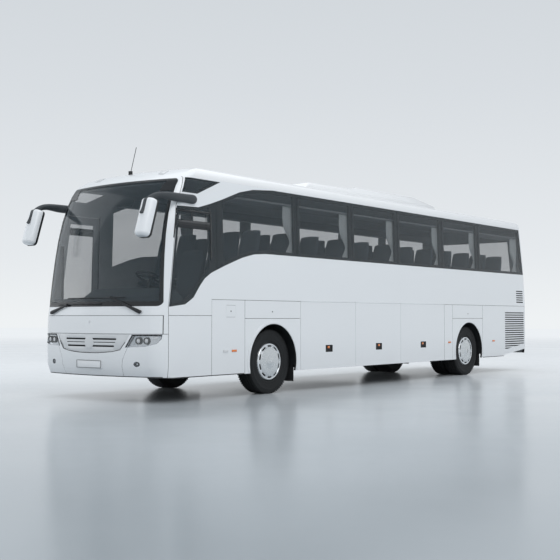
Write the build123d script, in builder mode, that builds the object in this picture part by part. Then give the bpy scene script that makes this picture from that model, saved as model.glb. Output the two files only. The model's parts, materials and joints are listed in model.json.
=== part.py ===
"""A two-axle touring coach, built at full size as an assembly of separate pieces.

Millimetres. +Z is up, the coach faces -Y, and its left side is +X. The origin is on the ground, under the
middle of the overall box, which runs from the mirror heads to the tail.
Lengths along the coach are stations: distances back from the front bumper's face.
"""
from build123d import *
import math
import os

os.makedirs("parts", exist_ok=True)

# Driving dimensions of the body
LENGTH = 12330                # from the bumper's face to the tail
MIRROR_REACH = 210            # the mirror heads stand this far ahead of the bumper
HALF_WIDTH = 1275
SKIRT_Z = 350                 # lower edge of the side panels
BELT_Z = 1485                 # seam between the lower panels and the upper wall
CANT_Z = 3270                 # lower edge of the roof
TUMBLEHOME = 50               # each wall leans in by this much from belt to cant rail
ROOF_CORNER_R = 175           # rounding between wall and roof
ROOF_CROWN_R = 8200           # the roof's gentle arch across the coach
BOW_R = 4200                  # the front's gentle bow in plan
WALL = 50                     # thickness of walls and roof
LOWER_PANEL = 40              # thickness of the fixed skirts
LEAF = 34                     # thickness of what opens: flaps, lid and door leaf
GLASS = 12                    # thickness of the bonded panes
FIT = 0.3                     # gap between fixed pieces that seat on each other
SEAM = 6                      # width of the open joints between body panels
RUN = 6                       # gap round everything that opens

# Floors
FLOOR_Z = 1420                # top of the saloon floor
FLOOR_THICK = 40
CAB_FLOOR_Z = 1060            # top of the driver's floor
BAY_FLOOR_Z = 420             # top of the luggage floor

# Wheels and axles
FRONT_AXLE = 2740             # station of the front axle
REAR_AXLE = 9420              # station of the drive axle
TYRE_R = 512
TYRE_W = 295
RIM_R = 286                   # seat of the tyre's bead
RIM_HALF = 118                # half of the rim's width over its flanges
TRACK_X = 1052.5              # middle of the front tyres and of the outer rear tyres
TWIN_GAP = 330                # distance between the twin tyres' middles
KINGPIN_IN = 100              # the kingpin stands this far inboard of the front tyre's middle
KINGPIN_R = 24
SPINDLE_R = 35
ARCH_R = 600                  # radius of the arch cut in the skirts
HOUSING_R = 625               # outer radius of the wheel housings
HOUSING_WALL = 8
HOUSING_X = 530               # inner side of the wheel housings

LEFT = 1
RIGHT = -1

HINGE_R = 6                   # bead on which a flap or the engine lid turns
HINGE_FIT = 0.3

MID = (LENGTH + HINGE_R - MIRROR_REACH) / 2
BOTTOM_Z = 300                # the body's form is drawn down to here, then cut
TOP_Z = 3560

# The body in plan at each height: its foremost station, its rearmost station and its front corners' radius.
# z, front, back, corner
LEVELS = [
    (BOTTOM_Z, 130, 12240, 250),
    (390, 62, 12275, 265),
    (520, 10, 12318, 280),
    (800, 0, LENGTH, 280),
    (1240, 18, LENGTH, 265),
    (1370, 47, LENGTH, 250),
    (BELT_Z, 60, LENGTH, 247),
    (1760, 93, LENGTH, 240),
    (2100, 143, 12312, 228),
    (2400, 200, 12290, 215),
    (2700, 280, 12256, 200),
    (2950, 375, 12218, 190),
    (3120, 465, 12188, 180),
    (3250, 560, 12160, 172),
    (3390, 800, 12110, 172),
    (3450, 1000, 12050, 172),
    (TOP_Z, 1900, 11700, 172),
]
REAR_CORNER_R = 130


def y_at(station):
    """Y of a station."""
    return station - MID


def half_width_at(z):
    """Half of the body's width: upright to the belt, then leaning in as far as the cant rail."""
    share = min(1, max(0, (z - BELT_Z) / (CANT_Z - BELT_Z)))
    return HALF_WIDTH - TUMBLEHOME * share


def front_at(z):
    """The body's foremost station at a height."""
    for (z0, front0, *_), (z1, front1, *_) in zip(LEVELS, LEVELS[1:]):
        if z <= z1:
            return front0 + (front1 - front0) * (z - z0) / (z1 - z0)
    return LEVELS[-1][1]


# Tools that draw in the coach's own directions

def slab(low, high, mode=Mode.ADD):
    """A box between two corners, each given as (x, station, z)."""
    middle = [(a + b) / 2 for a, b in zip(low, high)]
    with Locations((middle[0], y_at(middle[1]), middle[2])):
        Box(high[0] - low[0], high[1] - low[1], high[2] - low[2], mode=mode)


def side_plane(x):
    """A drawing plane seen from the left: its axes are station and z."""
    return Plane(origin=(x, y_at(0), 0), x_dir=(0, 1, 0), z_dir=(1, 0, 0))


def front_plane(station):
    """A drawing plane seen from the front: its axes are x and z. It extrudes forwards."""
    return Plane(origin=(0, y_at(station), 0), x_dir=(1, 0, 0), z_dir=(0, -1, 0))


def side_plate(points, x0, x1, mode=Mode.ADD):
    """A plate with its outline in (station, z), from x0 to x1."""
    with BuildSketch(side_plane(x0)) as face:
        with BuildLine():
            Polyline(*points, close=True)
        make_face()
    extrude(face.sketch, amount=x1 - x0, dir=(1, 0, 0), mode=mode)


def front_plate(points, station0, station1, mode=Mode.ADD):
    """A plate with its outline in (x, z), from one station back to another."""
    with BuildSketch(front_plane(station1)) as face:
        with BuildLine():
            Polyline(*points, close=True)
        make_face()
    extrude(face.sketch, amount=station1 - station0, dir=(0, -1, 0), mode=mode)


def rod(start, end, radius, mode=Mode.ADD):
    """A round bar between two points, each given as (x, station, z)."""
    a = Vector(start[0], y_at(start[1]), start[2])
    b = Vector(end[0], y_at(end[1]), end[2])
    with BuildSketch(Plane(origin=a, z_dir=b - a)) as face:
        Circle(radius)
    extrude(face.sketch, amount=(b - a).length, dir=b - a, mode=mode)


def finish(piece, name):
    """Labels a finished piece and writes it."""
    piece.label = name
    export_step(piece, f"parts/{name}.step")


# The body's form

def bow_and_corner(half, corner):
    """Where the corner begins, how deep the bow is there, and the sine and cosine of its turn there."""
    start = (half - corner) / (1 - corner / BOW_R)
    sine = start / BOW_R
    return start, BOW_R - math.sqrt(BOW_R**2 - start**2), sine, math.sqrt(1 - sine**2)


def plan_outline(z, half, front, back, corner, rear_corner):
    """The body in plan: bowed front, tight corners, straight sides, flat tail."""
    start, depth, sine, cosine = bow_and_corner(half, corner)
    y0, y1 = y_at(front), y_at(back)
    centre_x, centre_y = half - corner, y0 + depth + corner * cosine
    turn = math.atan2(-cosine, sine) / 2
    mid = (centre_x + corner * math.cos(turn), centre_y + corner * math.sin(turn))
    rear_mid = rear_corner * (1 - math.sqrt(0.5))
    with BuildSketch(Plane.XY.offset(z)) as face:
        with BuildLine():
            ThreePointArc((-start, y0 + depth), (0, y0), (start, y0 + depth))
            ThreePointArc((start, y0 + depth), mid, (half, centre_y))
            Line((half, centre_y), (half, y1 - rear_corner))
            ThreePointArc((half, y1 - rear_corner), (half - rear_mid, y1 - rear_mid), (half - rear_corner, y1))
            Line((half - rear_corner, y1), (rear_corner - half, y1))
            ThreePointArc((rear_corner - half, y1), (rear_mid - half, y1 - rear_mid), (-half, y1 - rear_corner))
            Line((-half, y1 - rear_corner), (-half, centre_y))
            ThreePointArc((-half, centre_y), (-mid[0], mid[1]), (-start, y0 + depth))
        make_face()
    return face.sketch


def cross_section(inset):
    """The body from the front: upright sides, leaning windows, rounded cant rail and crowned roof."""
    low = HALF_WIDTH - inset
    cant = low - TUMBLEHOME
    centre_x = HALF_WIDTH - TUMBLEHOME - ROOF_CORNER_R
    reach = ROOF_CROWN_R - ROOF_CORNER_R
    tilt = math.asin(centre_x / reach)
    crown = CANT_Z - reach * math.cos(tilt) + ROOF_CROWN_R - inset
    radius = ROOF_CORNER_R - inset
    end = (centre_x + radius * math.sin(tilt), CANT_Z + radius * math.cos(tilt))
    half_turn = (math.pi / 2 - tilt) / 2
    mid = (centre_x + radius * math.cos(half_turn), CANT_Z + radius * math.sin(half_turn))
    with BuildSketch(front_plane(LENGTH + 100)) as face:
        with BuildLine():
            Polyline((-cant, CANT_Z), (-low, BELT_Z), (-low, BOTTOM_Z), (low, BOTTOM_Z), (low, BELT_Z), (cant, CANT_Z))
            ThreePointArc((cant, CANT_Z), mid, end)
            ThreePointArc(end, (0, crown), (-end[0], end[1]))
            ThreePointArc((-end[0], end[1]), (-mid[0], mid[1]), (-cant, CANT_Z))
        make_face()
    return face.sketch


def body_form(inset):
    """The body's whole volume, with its walls and roof moved in by inset."""
    with BuildPart() as form:
        for z, front, back, corner in LEVELS:
            drop = inset if z > BELT_Z else 0
            half = half_width_at(z) + 1 - inset
            add(plan_outline(z - drop, half, front + inset, back - inset, corner - inset, REAR_CORNER_R - inset))
        loft(ruled=True)
        add(cross_section(inset))
        extrude(amount=LENGTH + 200, dir=(0, -1, 0), mode=Mode.INTERSECT)
    return form.part


OUTER = body_form(0)
INNER = body_form(WALL)
GLASS_BACK = body_form(GLASS)
GLASS_SEAT = body_form(GLASS + FIT)
LOWER_INNER = body_form(LOWER_PANEL)
LEAF_INNER = body_form(LEAF)
SEAT = body_form(WALL + FIT)              # room for what seats on the inside of walls and roof
LOWER_SEAT = body_form(LOWER_PANEL + FIT)
PROUD = body_form(-FIT)                   # what stands on the outside is cut to this
SHELL = OUTER - INNER
SKIN = OUTER - GLASS_SEAT
PANE = OUTER - GLASS_BACK
LOWER_SHELL = OUTER - LOWER_INNER
LEAF_SHELL = OUTER - LEAF_INNER

# Seams in side view, each point a (station, z)
FRONT_SEAM = [(355, BOTTOM_Z), (355, 1366), (556, 2822), (750, CANT_Z)]
HEADER_END = 945              # the front moulding's top runs back to here
REAR_SEAM = [(12198, BOTTOM_Z), (12198, 2210), (12022, CANT_Z), (11960, TOP_Z)]
COWL_SEAM = 1243              # between the nose flap and the windscreen's frame
NOSE_SEAM = 980               # between the bumper and the nose flap
BUMPER_Z = 365
REAR_BUMPER = (400, 700)      # lower and upper edge of the rear bumper

# Side panels below the belt: their front and rear seams
DRIVER_PANEL = (355, 1262)
SERVICE_PANEL = (1262, 2025)
FRONT_ARCH = (2025, 3457)
BAYS = [(3457, 5092), (5092, 6635), (6635, 8346)]
BATTERY_PANEL = (8346, 8691)
REAR_ARCH = (8691, 10054)
TAIL_PANEL = (10054, REAR_SEAM[0][0])
ARCH_SEAM = 1200              # top of the arch panels

# The dark band of side glass: points of its lower and upper edge, as (station, z)
GLASS_LOW = [
    (368, 1366), (691, 1404), (865, 1503), (1005, 1675), (1113, 1787), (1264, 1878), (1593, 2003),
    (1981, 2135), (2263, 2200), (2552, 2222), (12182, 2216),
]
GLASS_TOP = [
    (12020, 3258), (2773, 3258), (2270, 3218), (1948, 3148), (1523, 2992), (1263, 2906), (1007, 2833), (569, 2822),
]
PILLARS = [(1242, 1557), (3325, 3490), (4960, 5120), (6504, 6686), (8231, 8420), (9845, 10035)]
PANE_EDGE = 55                # the glass laps the wall by this much
QUARTER_LIGHT = [(672, 3030), (985, 3030), (1500, 3256), (770, 3256)]
QUARTER_EDGE = 30              # the quarter light laps the wall by this much
DOOR = (361, 1262)            # front and rear edge of the door leaf
DOOR_TOP = 2832
SIDE_X0, SIDE_X1 = 1095, 1400  # the walls and panels lie between these


def seam(points, shift):
    """A seam moved along the coach."""
    return [(station + shift, z) for station, z in points]


def side_range(side):
    """The lower and upper x that hold one side's wall."""
    return (SIDE_X0, SIDE_X1) if side == LEFT else (-SIDE_X1, -SIDE_X0)


def glass_band(side, margin, first, last, mode):
    """Part of the band of side glass between two stations, moved in by a margin all round."""
    x0, x1 = side_range(side)
    with BuildSketch(side_plane(x0)) as face:
        with BuildLine():
            Polyline(*GLASS_LOW, *GLASS_TOP, close=True)
        make_face()
        if margin:
            offset(amount=-margin, kind=Kind.INTERSECTION)
        with Locations(((first + last) / 2, 2300)):
            Rectangle(last - first, 3000, mode=Mode.INTERSECT)
    extrude(face.sketch, amount=x1 - x0, dir=(1, 0, 0), mode=mode)


def quarter_light(side, margin, form, mode):
    """The small window beside the windscreen's top corner, cut from a form and grown by a margin."""
    x0, x1 = side_range(side)
    with BuildPart(mode=Mode.PRIVATE) as light:
        add(form)
        with BuildSketch(side_plane(x0)) as face:
            with BuildLine():
                Polyline(*QUARTER_LIGHT, close=True)
            make_face()
            offset(amount=margin, kind=Kind.INTERSECTION)
        extrude(face.sketch, amount=x1 - x0, dir=(1, 0, 0), mode=Mode.INTERSECT)
    add(light.part, mode=mode)


def window_bays(side):
    """Front and rear station of each window between two pillars."""
    edges = [(0, PILLARS[0][0])] if side == LEFT else []
    for (_, near), (far, _) in zip(PILLARS, PILLARS[1:]):
        edges.append((near, far))
    edges.append((PILLARS[-1][1], LENGTH))
    return edges


# Louvres: front and rear edge, then the lower edge at the front, at the rear, and the upper edge
LOUVRE_MAIN = (11168, 12160, 500, 606, 1350)
LOUVRE_UPPER = (11778, 12130, 1560, 1560, 1850)
LOUVRE_PITCH = 50
LOUVRE_SLAT = 26
LOUVRE_DEPTH = 22


def louvre(side, field, mode):
    """Rows of slots between slats."""
    first, last, low_front, low_rear, top = field
    outer = HALF_WIDTH
    x0, x1 = sorted((side * (outer - LOUVRE_DEPTH), side * (outer + 20)))
    rows = int((top - low_front) / LOUVRE_PITCH)
    with BuildSketch(side_plane(x0)) as face:
        with BuildLine():
            Polyline((first, low_front), (last, low_rear), (last, top), (first, top), close=True)
        make_face()
        for row in range(rows + 1):
            with Locations(((first + last) / 2, top - row * LOUVRE_PITCH)):
                Rectangle(last - first + 100, LOUVRE_SLAT, mode=Mode.SUBTRACT)
    extrude(face.sketch, amount=x1 - x0, dir=(1, 0, 0), mode=mode)


# Side walls

def wall_outline(side):
    """The upper wall in side view. On the right the doorway is left out."""
    top = CANT_Z - FIT / 2
    back = [(x, z) for x, z in seam(REAR_SEAM, -FIT) if BELT_Z < z < top]
    slope = (REAR_SEAM[2][0] - REAR_SEAM[1][0]) / (REAR_SEAM[2][1] - REAR_SEAM[1][1])
    rear = [(REAR_SEAM[2][0] - FIT + slope * (top - CANT_Z), top), *back, (REAR_SEAM[0][0] - FIT, BELT_Z)]
    near = seam(FRONT_SEAM, SEAM)
    if side == LEFT:
        front = [(near[0][0], COWL_SEAM + SEAM / 2), near[1], near[2], (near[3][0], top)]
        return [*front, *rear, (DRIVER_PANEL[1], BELT_Z), (DRIVER_PANEL[1], COWL_SEAM + SEAM / 2)]
    front = [(near[2][0] + 8, DOOR_TOP + RUN), (near[3][0], top)]
    return [*front, *rear, (DOOR[1] + RUN, BELT_Z), (DOOR[1] + RUN, DOOR_TOP + RUN)]


def side_wall(side):
    x0, x1 = side_range(side)
    with BuildPart() as wall:
        add(SHELL)
        side_plate(wall_outline(side), x0, x1, Mode.INTERSECT)
        with BuildPart(mode=Mode.PRIVATE) as rebate:
            add(SKIN)
            glass_band(side, 0, 0 if side == LEFT else DOOR[1] + 40, LENGTH, Mode.INTERSECT)
        add(rebate.part, mode=Mode.SUBTRACT)
        for first, last in window_bays(side):
            glass_band(side, PANE_EDGE, first, last, Mode.SUBTRACT)
        quarter_light(side, FIT, SKIN, Mode.SUBTRACT)
        quarter_light(side, -QUARTER_EDGE, SHELL, Mode.SUBTRACT)
        louvre(side, LOUVRE_UPPER, Mode.SUBTRACT)
        for first, last in BAYS:
            rod((side * HALF_WIDTH, first, BELT_Z), (side * HALF_WIDTH, last, BELT_Z), HINGE_R + HINGE_FIT,
                Mode.SUBTRACT)
    return wall.part


def side_panes(side):
    """One pane to each bay, with a narrow joint over the middle of each pillar."""
    joints = [(near + far) / 2 for near, far in PILLARS]
    first = 0 if side == LEFT else DOOR[1] + 40 + SEAM
    edges = [first, *joints[0 if side == LEFT else 1:], LENGTH]
    panes = []
    for near, far in zip(edges, edges[1:]):
        with BuildPart() as pane:
            add(PANE)
            glass_band(side, FIT, near + SEAM / 2, far - SEAM / 2, Mode.INTERSECT)
        panes.append(pane.part)
    with BuildPart() as pane:
        quarter_light(side, -FIT, PANE, Mode.ADD)
    return [*panes, pane.part]


walls = {side: side_wall(side) for side in (LEFT, RIGHT)}
finish(walls[LEFT], "side_wall_left")
finish(walls[RIGHT], "side_wall_right")
with BuildPart() as side_windows:
    for pane in side_panes(LEFT) + side_panes(RIGHT):
        add(pane)
finish(side_windows.part, "side_windows")


# Front

WINDSCREEN = [(-1132, 3244), (-1235, 1374), (1235, 1374), (1132, 3244)]
SCREEN_LAP = 60               # the glass laps its frame by this much
GRILLE_OUTLINE = [
    (-775, 972), (-700, 850), (-613, 761), (-351, 721), (0, 709), (351, 721), (613, 761), (700, 850), (775, 972),
]
HEAD_LAMP = [(812, 972), (1238, 974), (1232, 912), (1189, 841), (1031, 802), (700, 788)]
BUMPER_SPLIT = [(745, 790), (687, 682), (655, 620), (617, 340)]   # seam between the bumper's middle and its corner
BUMPER_GROOVE = 4
NOSE_EDGE = 1238                         # the nose flap ends here, and the windscreen's pillar runs on beside it
FOG_LAMP = (894, 553, 52, 38)            # centre x and z, half width and half height
PLATE = (260, 484, 594, 4)               # half width, lower and upper edge, station of its face
DOOR_POST = (-1130, 450)                 # x and station of the front door's turning post
DOOR_POST_TOP = 2330
DOOR_POST_R = 18


def front_side(shift):
    """The front mouldings' rear boundary, shifted along the coach, as a closed side view."""
    near = seam(FRONT_SEAM, shift)
    return [(-400, BOTTOM_Z), *near, (HEADER_END + shift, CANT_Z), (HEADER_END + shift, TOP_Z), (-400, TOP_Z)]


def front_zone(low, high):
    """Trims the part being built to the front mouldings between two heights."""
    side_plate(front_side(0), -SIDE_X1, SIDE_X1, Mode.INTERSECT)
    slab((-SIDE_X1, -400, low), (SIDE_X1, HEADER_END, high), Mode.INTERSECT)


def rounded_front(points, station0, station1, radius, margin, mode):
    """A plate seen from the front with rounded corners, moved in by a margin."""
    with BuildSketch(front_plane(station1)) as face:
        with BuildLine():
            Polyline(*points, close=True)
        make_face()
        fillet(face.vertices(), radius)
        if margin:
            offset(amount=-margin)
    extrude(face.sketch, amount=station1 - station0, dir=(0, -1, 0), mode=mode)


with BuildPart() as screen_rebate:
    add(SKIN)
    rounded_front(WINDSCREEN, -400, 1000, 70, 0, Mode.INTERSECT)

with BuildPart() as post_bearing:
    slab((DOOR_POST[0] - 30, DOOR_POST[1] - 90, DOOR_POST_TOP + FIT),
         (DOOR_POST[0] + 30, DOOR_POST[1] + 25, DOOR_POST_TOP + 22))
    add(LEAF_INNER, mode=Mode.INTERSECT)

with BuildPart() as windscreen_frame:
    add(SHELL)
    front_zone(NOSE_SEAM + SEAM / 2, TOP_Z)
    slab((-NOSE_EDGE - SEAM, -400, 0), (NOSE_EDGE + SEAM, HEADER_END, COWL_SEAM + SEAM / 2), Mode.SUBTRACT)
    add(screen_rebate.part, mode=Mode.SUBTRACT)
    rounded_front(WINDSCREEN, -400, 1000, 70, SCREEN_LAP, Mode.SUBTRACT)
    add(post_bearing.part)
finish(windscreen_frame.part, "windscreen_frame")

with BuildPart() as windscreen:
    add(PANE)
    rounded_front(WINDSCREEN, -400, 1000, 70, FIT, Mode.INTERSECT)
finish(windscreen.part, "windscreen")

with BuildPart() as nose_panel:
    add(SHELL)
    front_zone(NOSE_SEAM + SEAM / 2, COWL_SEAM - SEAM / 2)
    slab((-NOSE_EDGE, -400, 0), (NOSE_EDGE, HEADER_END, TOP_Z), Mode.INTERSECT)
finish(nose_panel.part, "nose_panel")

with BuildPart() as front_bumper:
    add(SHELL)
    front_zone(BUMPER_Z, NOSE_SEAM - SEAM / 2)
    slab((-PLATE[0], PLATE[3], PLATE[1]), (PLATE[0], 45, PLATE[2]))
    front_plate(GRILLE_OUTLINE, -400, 400, Mode.SUBTRACT)
    for side in (LEFT, RIGHT):
        front_plate([(side * x, z) for x, z in HEAD_LAMP], -400, 400, Mode.SUBTRACT)
        near = [(side * x, z) for x, z in BUMPER_SPLIT]
        front_plate([*near, *[(x + side * BUMPER_GROOVE, z) for x, z in reversed(near)]], -400, 400, Mode.SUBTRACT)
        with BuildSketch(front_plane(400)) as fog:
            with Locations((side * FOG_LAMP[0], FOG_LAMP[1])):
                Ellipse(FOG_LAMP[2], FOG_LAMP[3])
        extrude(fog.sketch, amount=800, dir=(0, -1, 0), mode=Mode.SUBTRACT)
finish(front_bumper.part, "front_bumper")

# Grille: a bowed plate with long slots on both sides of a blank disc
GRILLE_SLOTS = [(905, 24, 540), (857, 10, 520), (803, 24, 500)]   # middle z, height and reach from the middle
GRILLE_BACK = 34              # depth from the grille's face to its closed back
EMBLEM_R = 96
EMBLEM_Z = 853


def bowed_slab(station0, station1, half, z0, z1, mode=Mode.ADD):
    """A slab that follows the front's bow between two stations at its middle."""
    depth = BOW_R - math.sqrt(BOW_R**2 - half**2)
    y0, y1 = y_at(station0), y_at(station1)
    with BuildSketch(Plane.XY.offset(z0)) as face:
        with BuildLine():
            ThreePointArc((-half, y0 + depth), (0, y0), (half, y0 + depth))
            Line((half, y0 + depth), (half, y1 + depth))
            ThreePointArc((half, y1 + depth), (0, y1), (-half, y1 + depth))
            Line((-half, y1 + depth), (-half, y0 + depth))
        make_face()
    extrude(face.sketch, amount=z1 - z0, dir=(0, 0, 1), mode=mode)


with BuildSketch(front_plane(400)) as slot_face:
    for z, height, reach in GRILLE_SLOTS:
        with Locations((0, z)):
            SlotOverall(2 * reach, height)
    with Locations((0, EMBLEM_Z)):
        Circle(EMBLEM_R, mode=Mode.SUBTRACT)
with BuildPart() as slots:
    bowed_slab(-60, 8 + GRILLE_BACK, 900, 700, 1000)
    extrude(slot_face.sketch, amount=800, dir=(0, -1, 0), mode=Mode.INTERSECT)
with BuildPart() as grille:
    bowed_slab(8, WALL, 900, 700, 1000)
    rounded_front(GRILLE_OUTLINE, -400, 400, 5, FIT, Mode.INTERSECT)
    add(slots.part, mode=Mode.SUBTRACT)
finish(grille.part, "grille")

with BuildPart() as head_lamps:
    for side in (LEFT, RIGHT):
        with BuildPart(mode=Mode.PRIVATE) as lamp:
            add(LEAF_SHELL)
            front_zone(BUMPER_Z, NOSE_SEAM)
            rounded_front([(side * x, z) for x, z in HEAD_LAMP], -400, 400, 3, FIT, Mode.INTERSECT)
        add(lamp.part)
        with BuildPart(mode=Mode.PRIVATE) as lamp:
            add(LEAF_SHELL)
            with BuildSketch(front_plane(400)) as fog:
                with Locations((side * FOG_LAMP[0], FOG_LAMP[1])):
                    Ellipse(FOG_LAMP[2] - FIT, FOG_LAMP[3] - FIT)
            extrude(fog.sketch, amount=800, dir=(0, -1, 0), mode=Mode.INTERSECT)
        add(lamp.part)
finish(head_lamps.part, "head_lamps")


# Roof, rear wall and what they carry

REAR_WINDOW = [(-960, 2230), (960, 2230), (930, 3060), (-930, 3060)]
LID = (850, 706, 1744)                   # engine lid: half width, lower and upper edge
TAIL_LAMP = (930, 1130, 820, 1640)       # inner and outer x, lower and upper edge
HATCHES = [2900, 9650]                   # stations of the roof hatches' middles
HATCH = (620, 760, 42)                   # width, length and height above the crown


def rear_zone(low, high):
    """Trims the part being built to the rear wall between two heights."""
    side_plate([*REAR_SEAM, (LENGTH + 100, TOP_Z), (LENGTH + 100, BOTTOM_Z)], -SIDE_X1, SIDE_X1, Mode.INTERSECT)
    slab((-SIDE_X1, HEADER_END, low), (SIDE_X1, LENGTH + 100, high), Mode.INTERSECT)


def rear_plate(points, margin, radius, mode):
    """A cutter seen from behind through the rear wall, with rounded corners and moved in by a margin."""
    with BuildSketch(front_plane(LENGTH + 100)) as face:
        with BuildLine():
            Polyline(*points, close=True)
        make_face()
        fillet(face.vertices(), radius)
        if margin:
            offset(amount=-margin)
    extrude(face.sketch, amount=600, dir=(0, -1, 0), mode=mode)


def rectangle_points(x0, x1, z0, z1):
    return [(x0, z0), (x1, z0), (x1, z1), (x0, z1)]


with BuildPart() as roof:
    add(SHELL)
    side_plate([(HEADER_END + FIT, CANT_Z + FIT / 2), (HEADER_END + FIT, TOP_Z), *reversed(
        [(x, z) for x, z in seam(REAR_SEAM, -FIT) if z > CANT_Z]), (REAR_SEAM[2][0] - FIT, CANT_Z + FIT / 2)],
        -SIDE_X1, SIDE_X1, Mode.INTERSECT)
    for station in HATCHES:
        slab((-HATCH[0] / 2, station - HATCH[1] / 2, 3480), (HATCH[0] / 2, station + HATCH[1] / 2, 3514 + HATCH[2]))
finish(roof.part, "roof")

with BuildPart() as rear_rebate:
    add(SKIN)
    rear_plate(REAR_WINDOW, 0, 60, Mode.INTERSECT)
with BuildPart() as rear_wall:
    add(SHELL)
    rear_zone(REAR_BUMPER[1] + SEAM, TOP_Z)
    add(rear_rebate.part, mode=Mode.SUBTRACT)
    rear_plate(REAR_WINDOW, PANE_EDGE, 60, Mode.SUBTRACT)
    slab((-LID[0] - RUN, LENGTH - 300, REAR_BUMPER[1] - 100), (LID[0] + RUN, LENGTH + 100, LID[2] + RUN), Mode.SUBTRACT)
    for side in (LEFT, RIGHT):
        rear_plate(rectangle_points(*sorted((side * TAIL_LAMP[0], side * TAIL_LAMP[1])), *TAIL_LAMP[2:]), 0, 30,
                   Mode.SUBTRACT)
    rod((-LID[0] - RUN, LENGTH, LID[2] + RUN), (LID[0] + RUN, LENGTH, LID[2] + RUN), HINGE_R + HINGE_FIT,
        Mode.SUBTRACT)
finish(rear_wall.part, "rear_wall")

with BuildPart() as rear_window:
    add(PANE)
    rear_plate(REAR_WINDOW, FIT, 60, Mode.INTERSECT)
finish(rear_window.part, "rear_window")

with BuildPart() as tail_lamps:
    for side in (LEFT, RIGHT):
        with BuildPart(mode=Mode.PRIVATE) as lamp:
            add(LOWER_SHELL)
            rear_plate(rectangle_points(*sorted((side * TAIL_LAMP[0], side * TAIL_LAMP[1])), *TAIL_LAMP[2:]), FIT,
                       30, Mode.INTERSECT)
        add(lamp.part)
finish(tail_lamps.part, "tail_lamps")

with BuildPart() as rear_bumper:
    add(SHELL)
    rear_zone(*REAR_BUMPER)
    slab((-PLATE[0], LENGTH - 30, 500), (PLATE[0], LENGTH, 620))
finish(rear_bumper.part, "rear_bumper")

with BuildPart() as engine_lid:
    slab((-LID[0], LENGTH - LEAF, LID[1]), (LID[0], LENGTH, LID[2]))
    slab((-LID[0], LENGTH - HINGE_R, LID[2]), (LID[0], LENGTH, LID[2] + RUN))
    rod((-LID[0], LENGTH, LID[2] + RUN), (LID[0], LENGTH, LID[2] + RUN), HINGE_R)
finish(engine_lid.part, "engine_lid")

# Air conditioner: its housing's side view, narrower at the top
AIR_HALF = 760
AIR_OUTLINE = [(4200, 3440), (4420, 3612), (5750, 3636), (6000, 3690), (8150, 3700), (8900, 3560), (8940, 3440)]
with BuildPart() as air_conditioner:
    side_plate(AIR_OUTLINE, -AIR_HALF, AIR_HALF)
    front_plate([(-AIR_HALF, 3430), (AIR_HALF, 3430), (AIR_HALF, 3560), (AIR_HALF - 90, 3710), (90 - AIR_HALF, 3710),
                 (-AIR_HALF, 3560)], 4000, 9000, Mode.INTERSECT)
    add(PROUD, mode=Mode.SUBTRACT)
finish(air_conditioner.part, "air_conditioner")


# Side panels below the belt

def lower_panel(side, first, last, low, high):
    """A fixed panel between two seams, cut from the body's lower shell."""
    x0, x1 = side_range(side)
    with BuildPart() as panel:
        add(LOWER_SHELL)
        slab((x0, first + SEAM / 2, low), (x1, last - SEAM / 2, high), Mode.INTERSECT)
    return panel.part


def tail_panel(side):
    """The panel behind the drive wheel: its lower edge rises, and a louvre is let into it."""
    with BuildPart() as panel:
        add(lower_panel(side, *TAIL_PANEL, SKIRT_Z - 20, BELT_Z - RUN))
        side_plate([(10000, SKIRT_Z - 30), (10000, SKIRT_Z), (10837, SKIRT_Z), (12300, 502), (12300, SKIRT_Z - 30)],
                   *side_range(side), Mode.SUBTRACT)
        louvre(side, LOUVRE_MAIN, Mode.SUBTRACT)
    return panel.part


FILLER_FLAP = (1582, 1813, 1220, 1402)   # its front, rear, lower and upper edge
FILLER_GROOVE = (3, 5)                   # the groove round it: width and depth


def filler_groove():
    """A narrow groove round the filler flap, on the left side."""
    first, last, low, top = FILLER_FLAP
    with BuildSketch(side_plane(HALF_WIDTH - FILLER_GROOVE[1])) as face:
        with Locations(((first + last) / 2, (low + top) / 2)):
            RectangleRounded(last - first, top - low, 20)
            RectangleRounded(last - first - 2 * FILLER_GROOVE[0], top - low - 2 * FILLER_GROOVE[0], 17,
                             mode=Mode.SUBTRACT)
    extrude(face.sketch, amount=FILLER_GROOVE[1] + 20, dir=(1, 0, 0), mode=Mode.SUBTRACT)


with BuildPart() as skirt_panels:
    for side in (LEFT, RIGHT):
        if side == LEFT:
            add(lower_panel(side, DRIVER_PANEL[0] + SEAM / 2, DRIVER_PANEL[1], SKIRT_Z, COWL_SEAM - SEAM / 2))
        for first, last in (SERVICE_PANEL, BATTERY_PANEL):
            add(lower_panel(side, first, last, SKIRT_Z, BELT_Z - RUN))
        for first, last in (FRONT_ARCH, REAR_ARCH):
            add(lower_panel(side, first, last, ARCH_SEAM + SEAM / 2, BELT_Z - RUN))
        add(tail_panel(side))
    filler_groove()
finish(skirt_panels.part, "skirt_panels")

with BuildPart() as arch_panels:
    for side in (LEFT, RIGHT):
        for (first, last), axle in ((FRONT_ARCH, FRONT_AXLE), (REAR_ARCH, REAR_AXLE)):
            with BuildPart(mode=Mode.PRIVATE) as panel:
                add(lower_panel(side, first, last, SKIRT_Z, ARCH_SEAM - SEAM / 2))
                rod((side * SIDE_X0, axle, TYRE_R), (side * SIDE_X1, axle, TYRE_R), ARCH_R, Mode.SUBTRACT)
            add(panel.part)
finish(arch_panels.part, "arch_panels")

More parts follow.
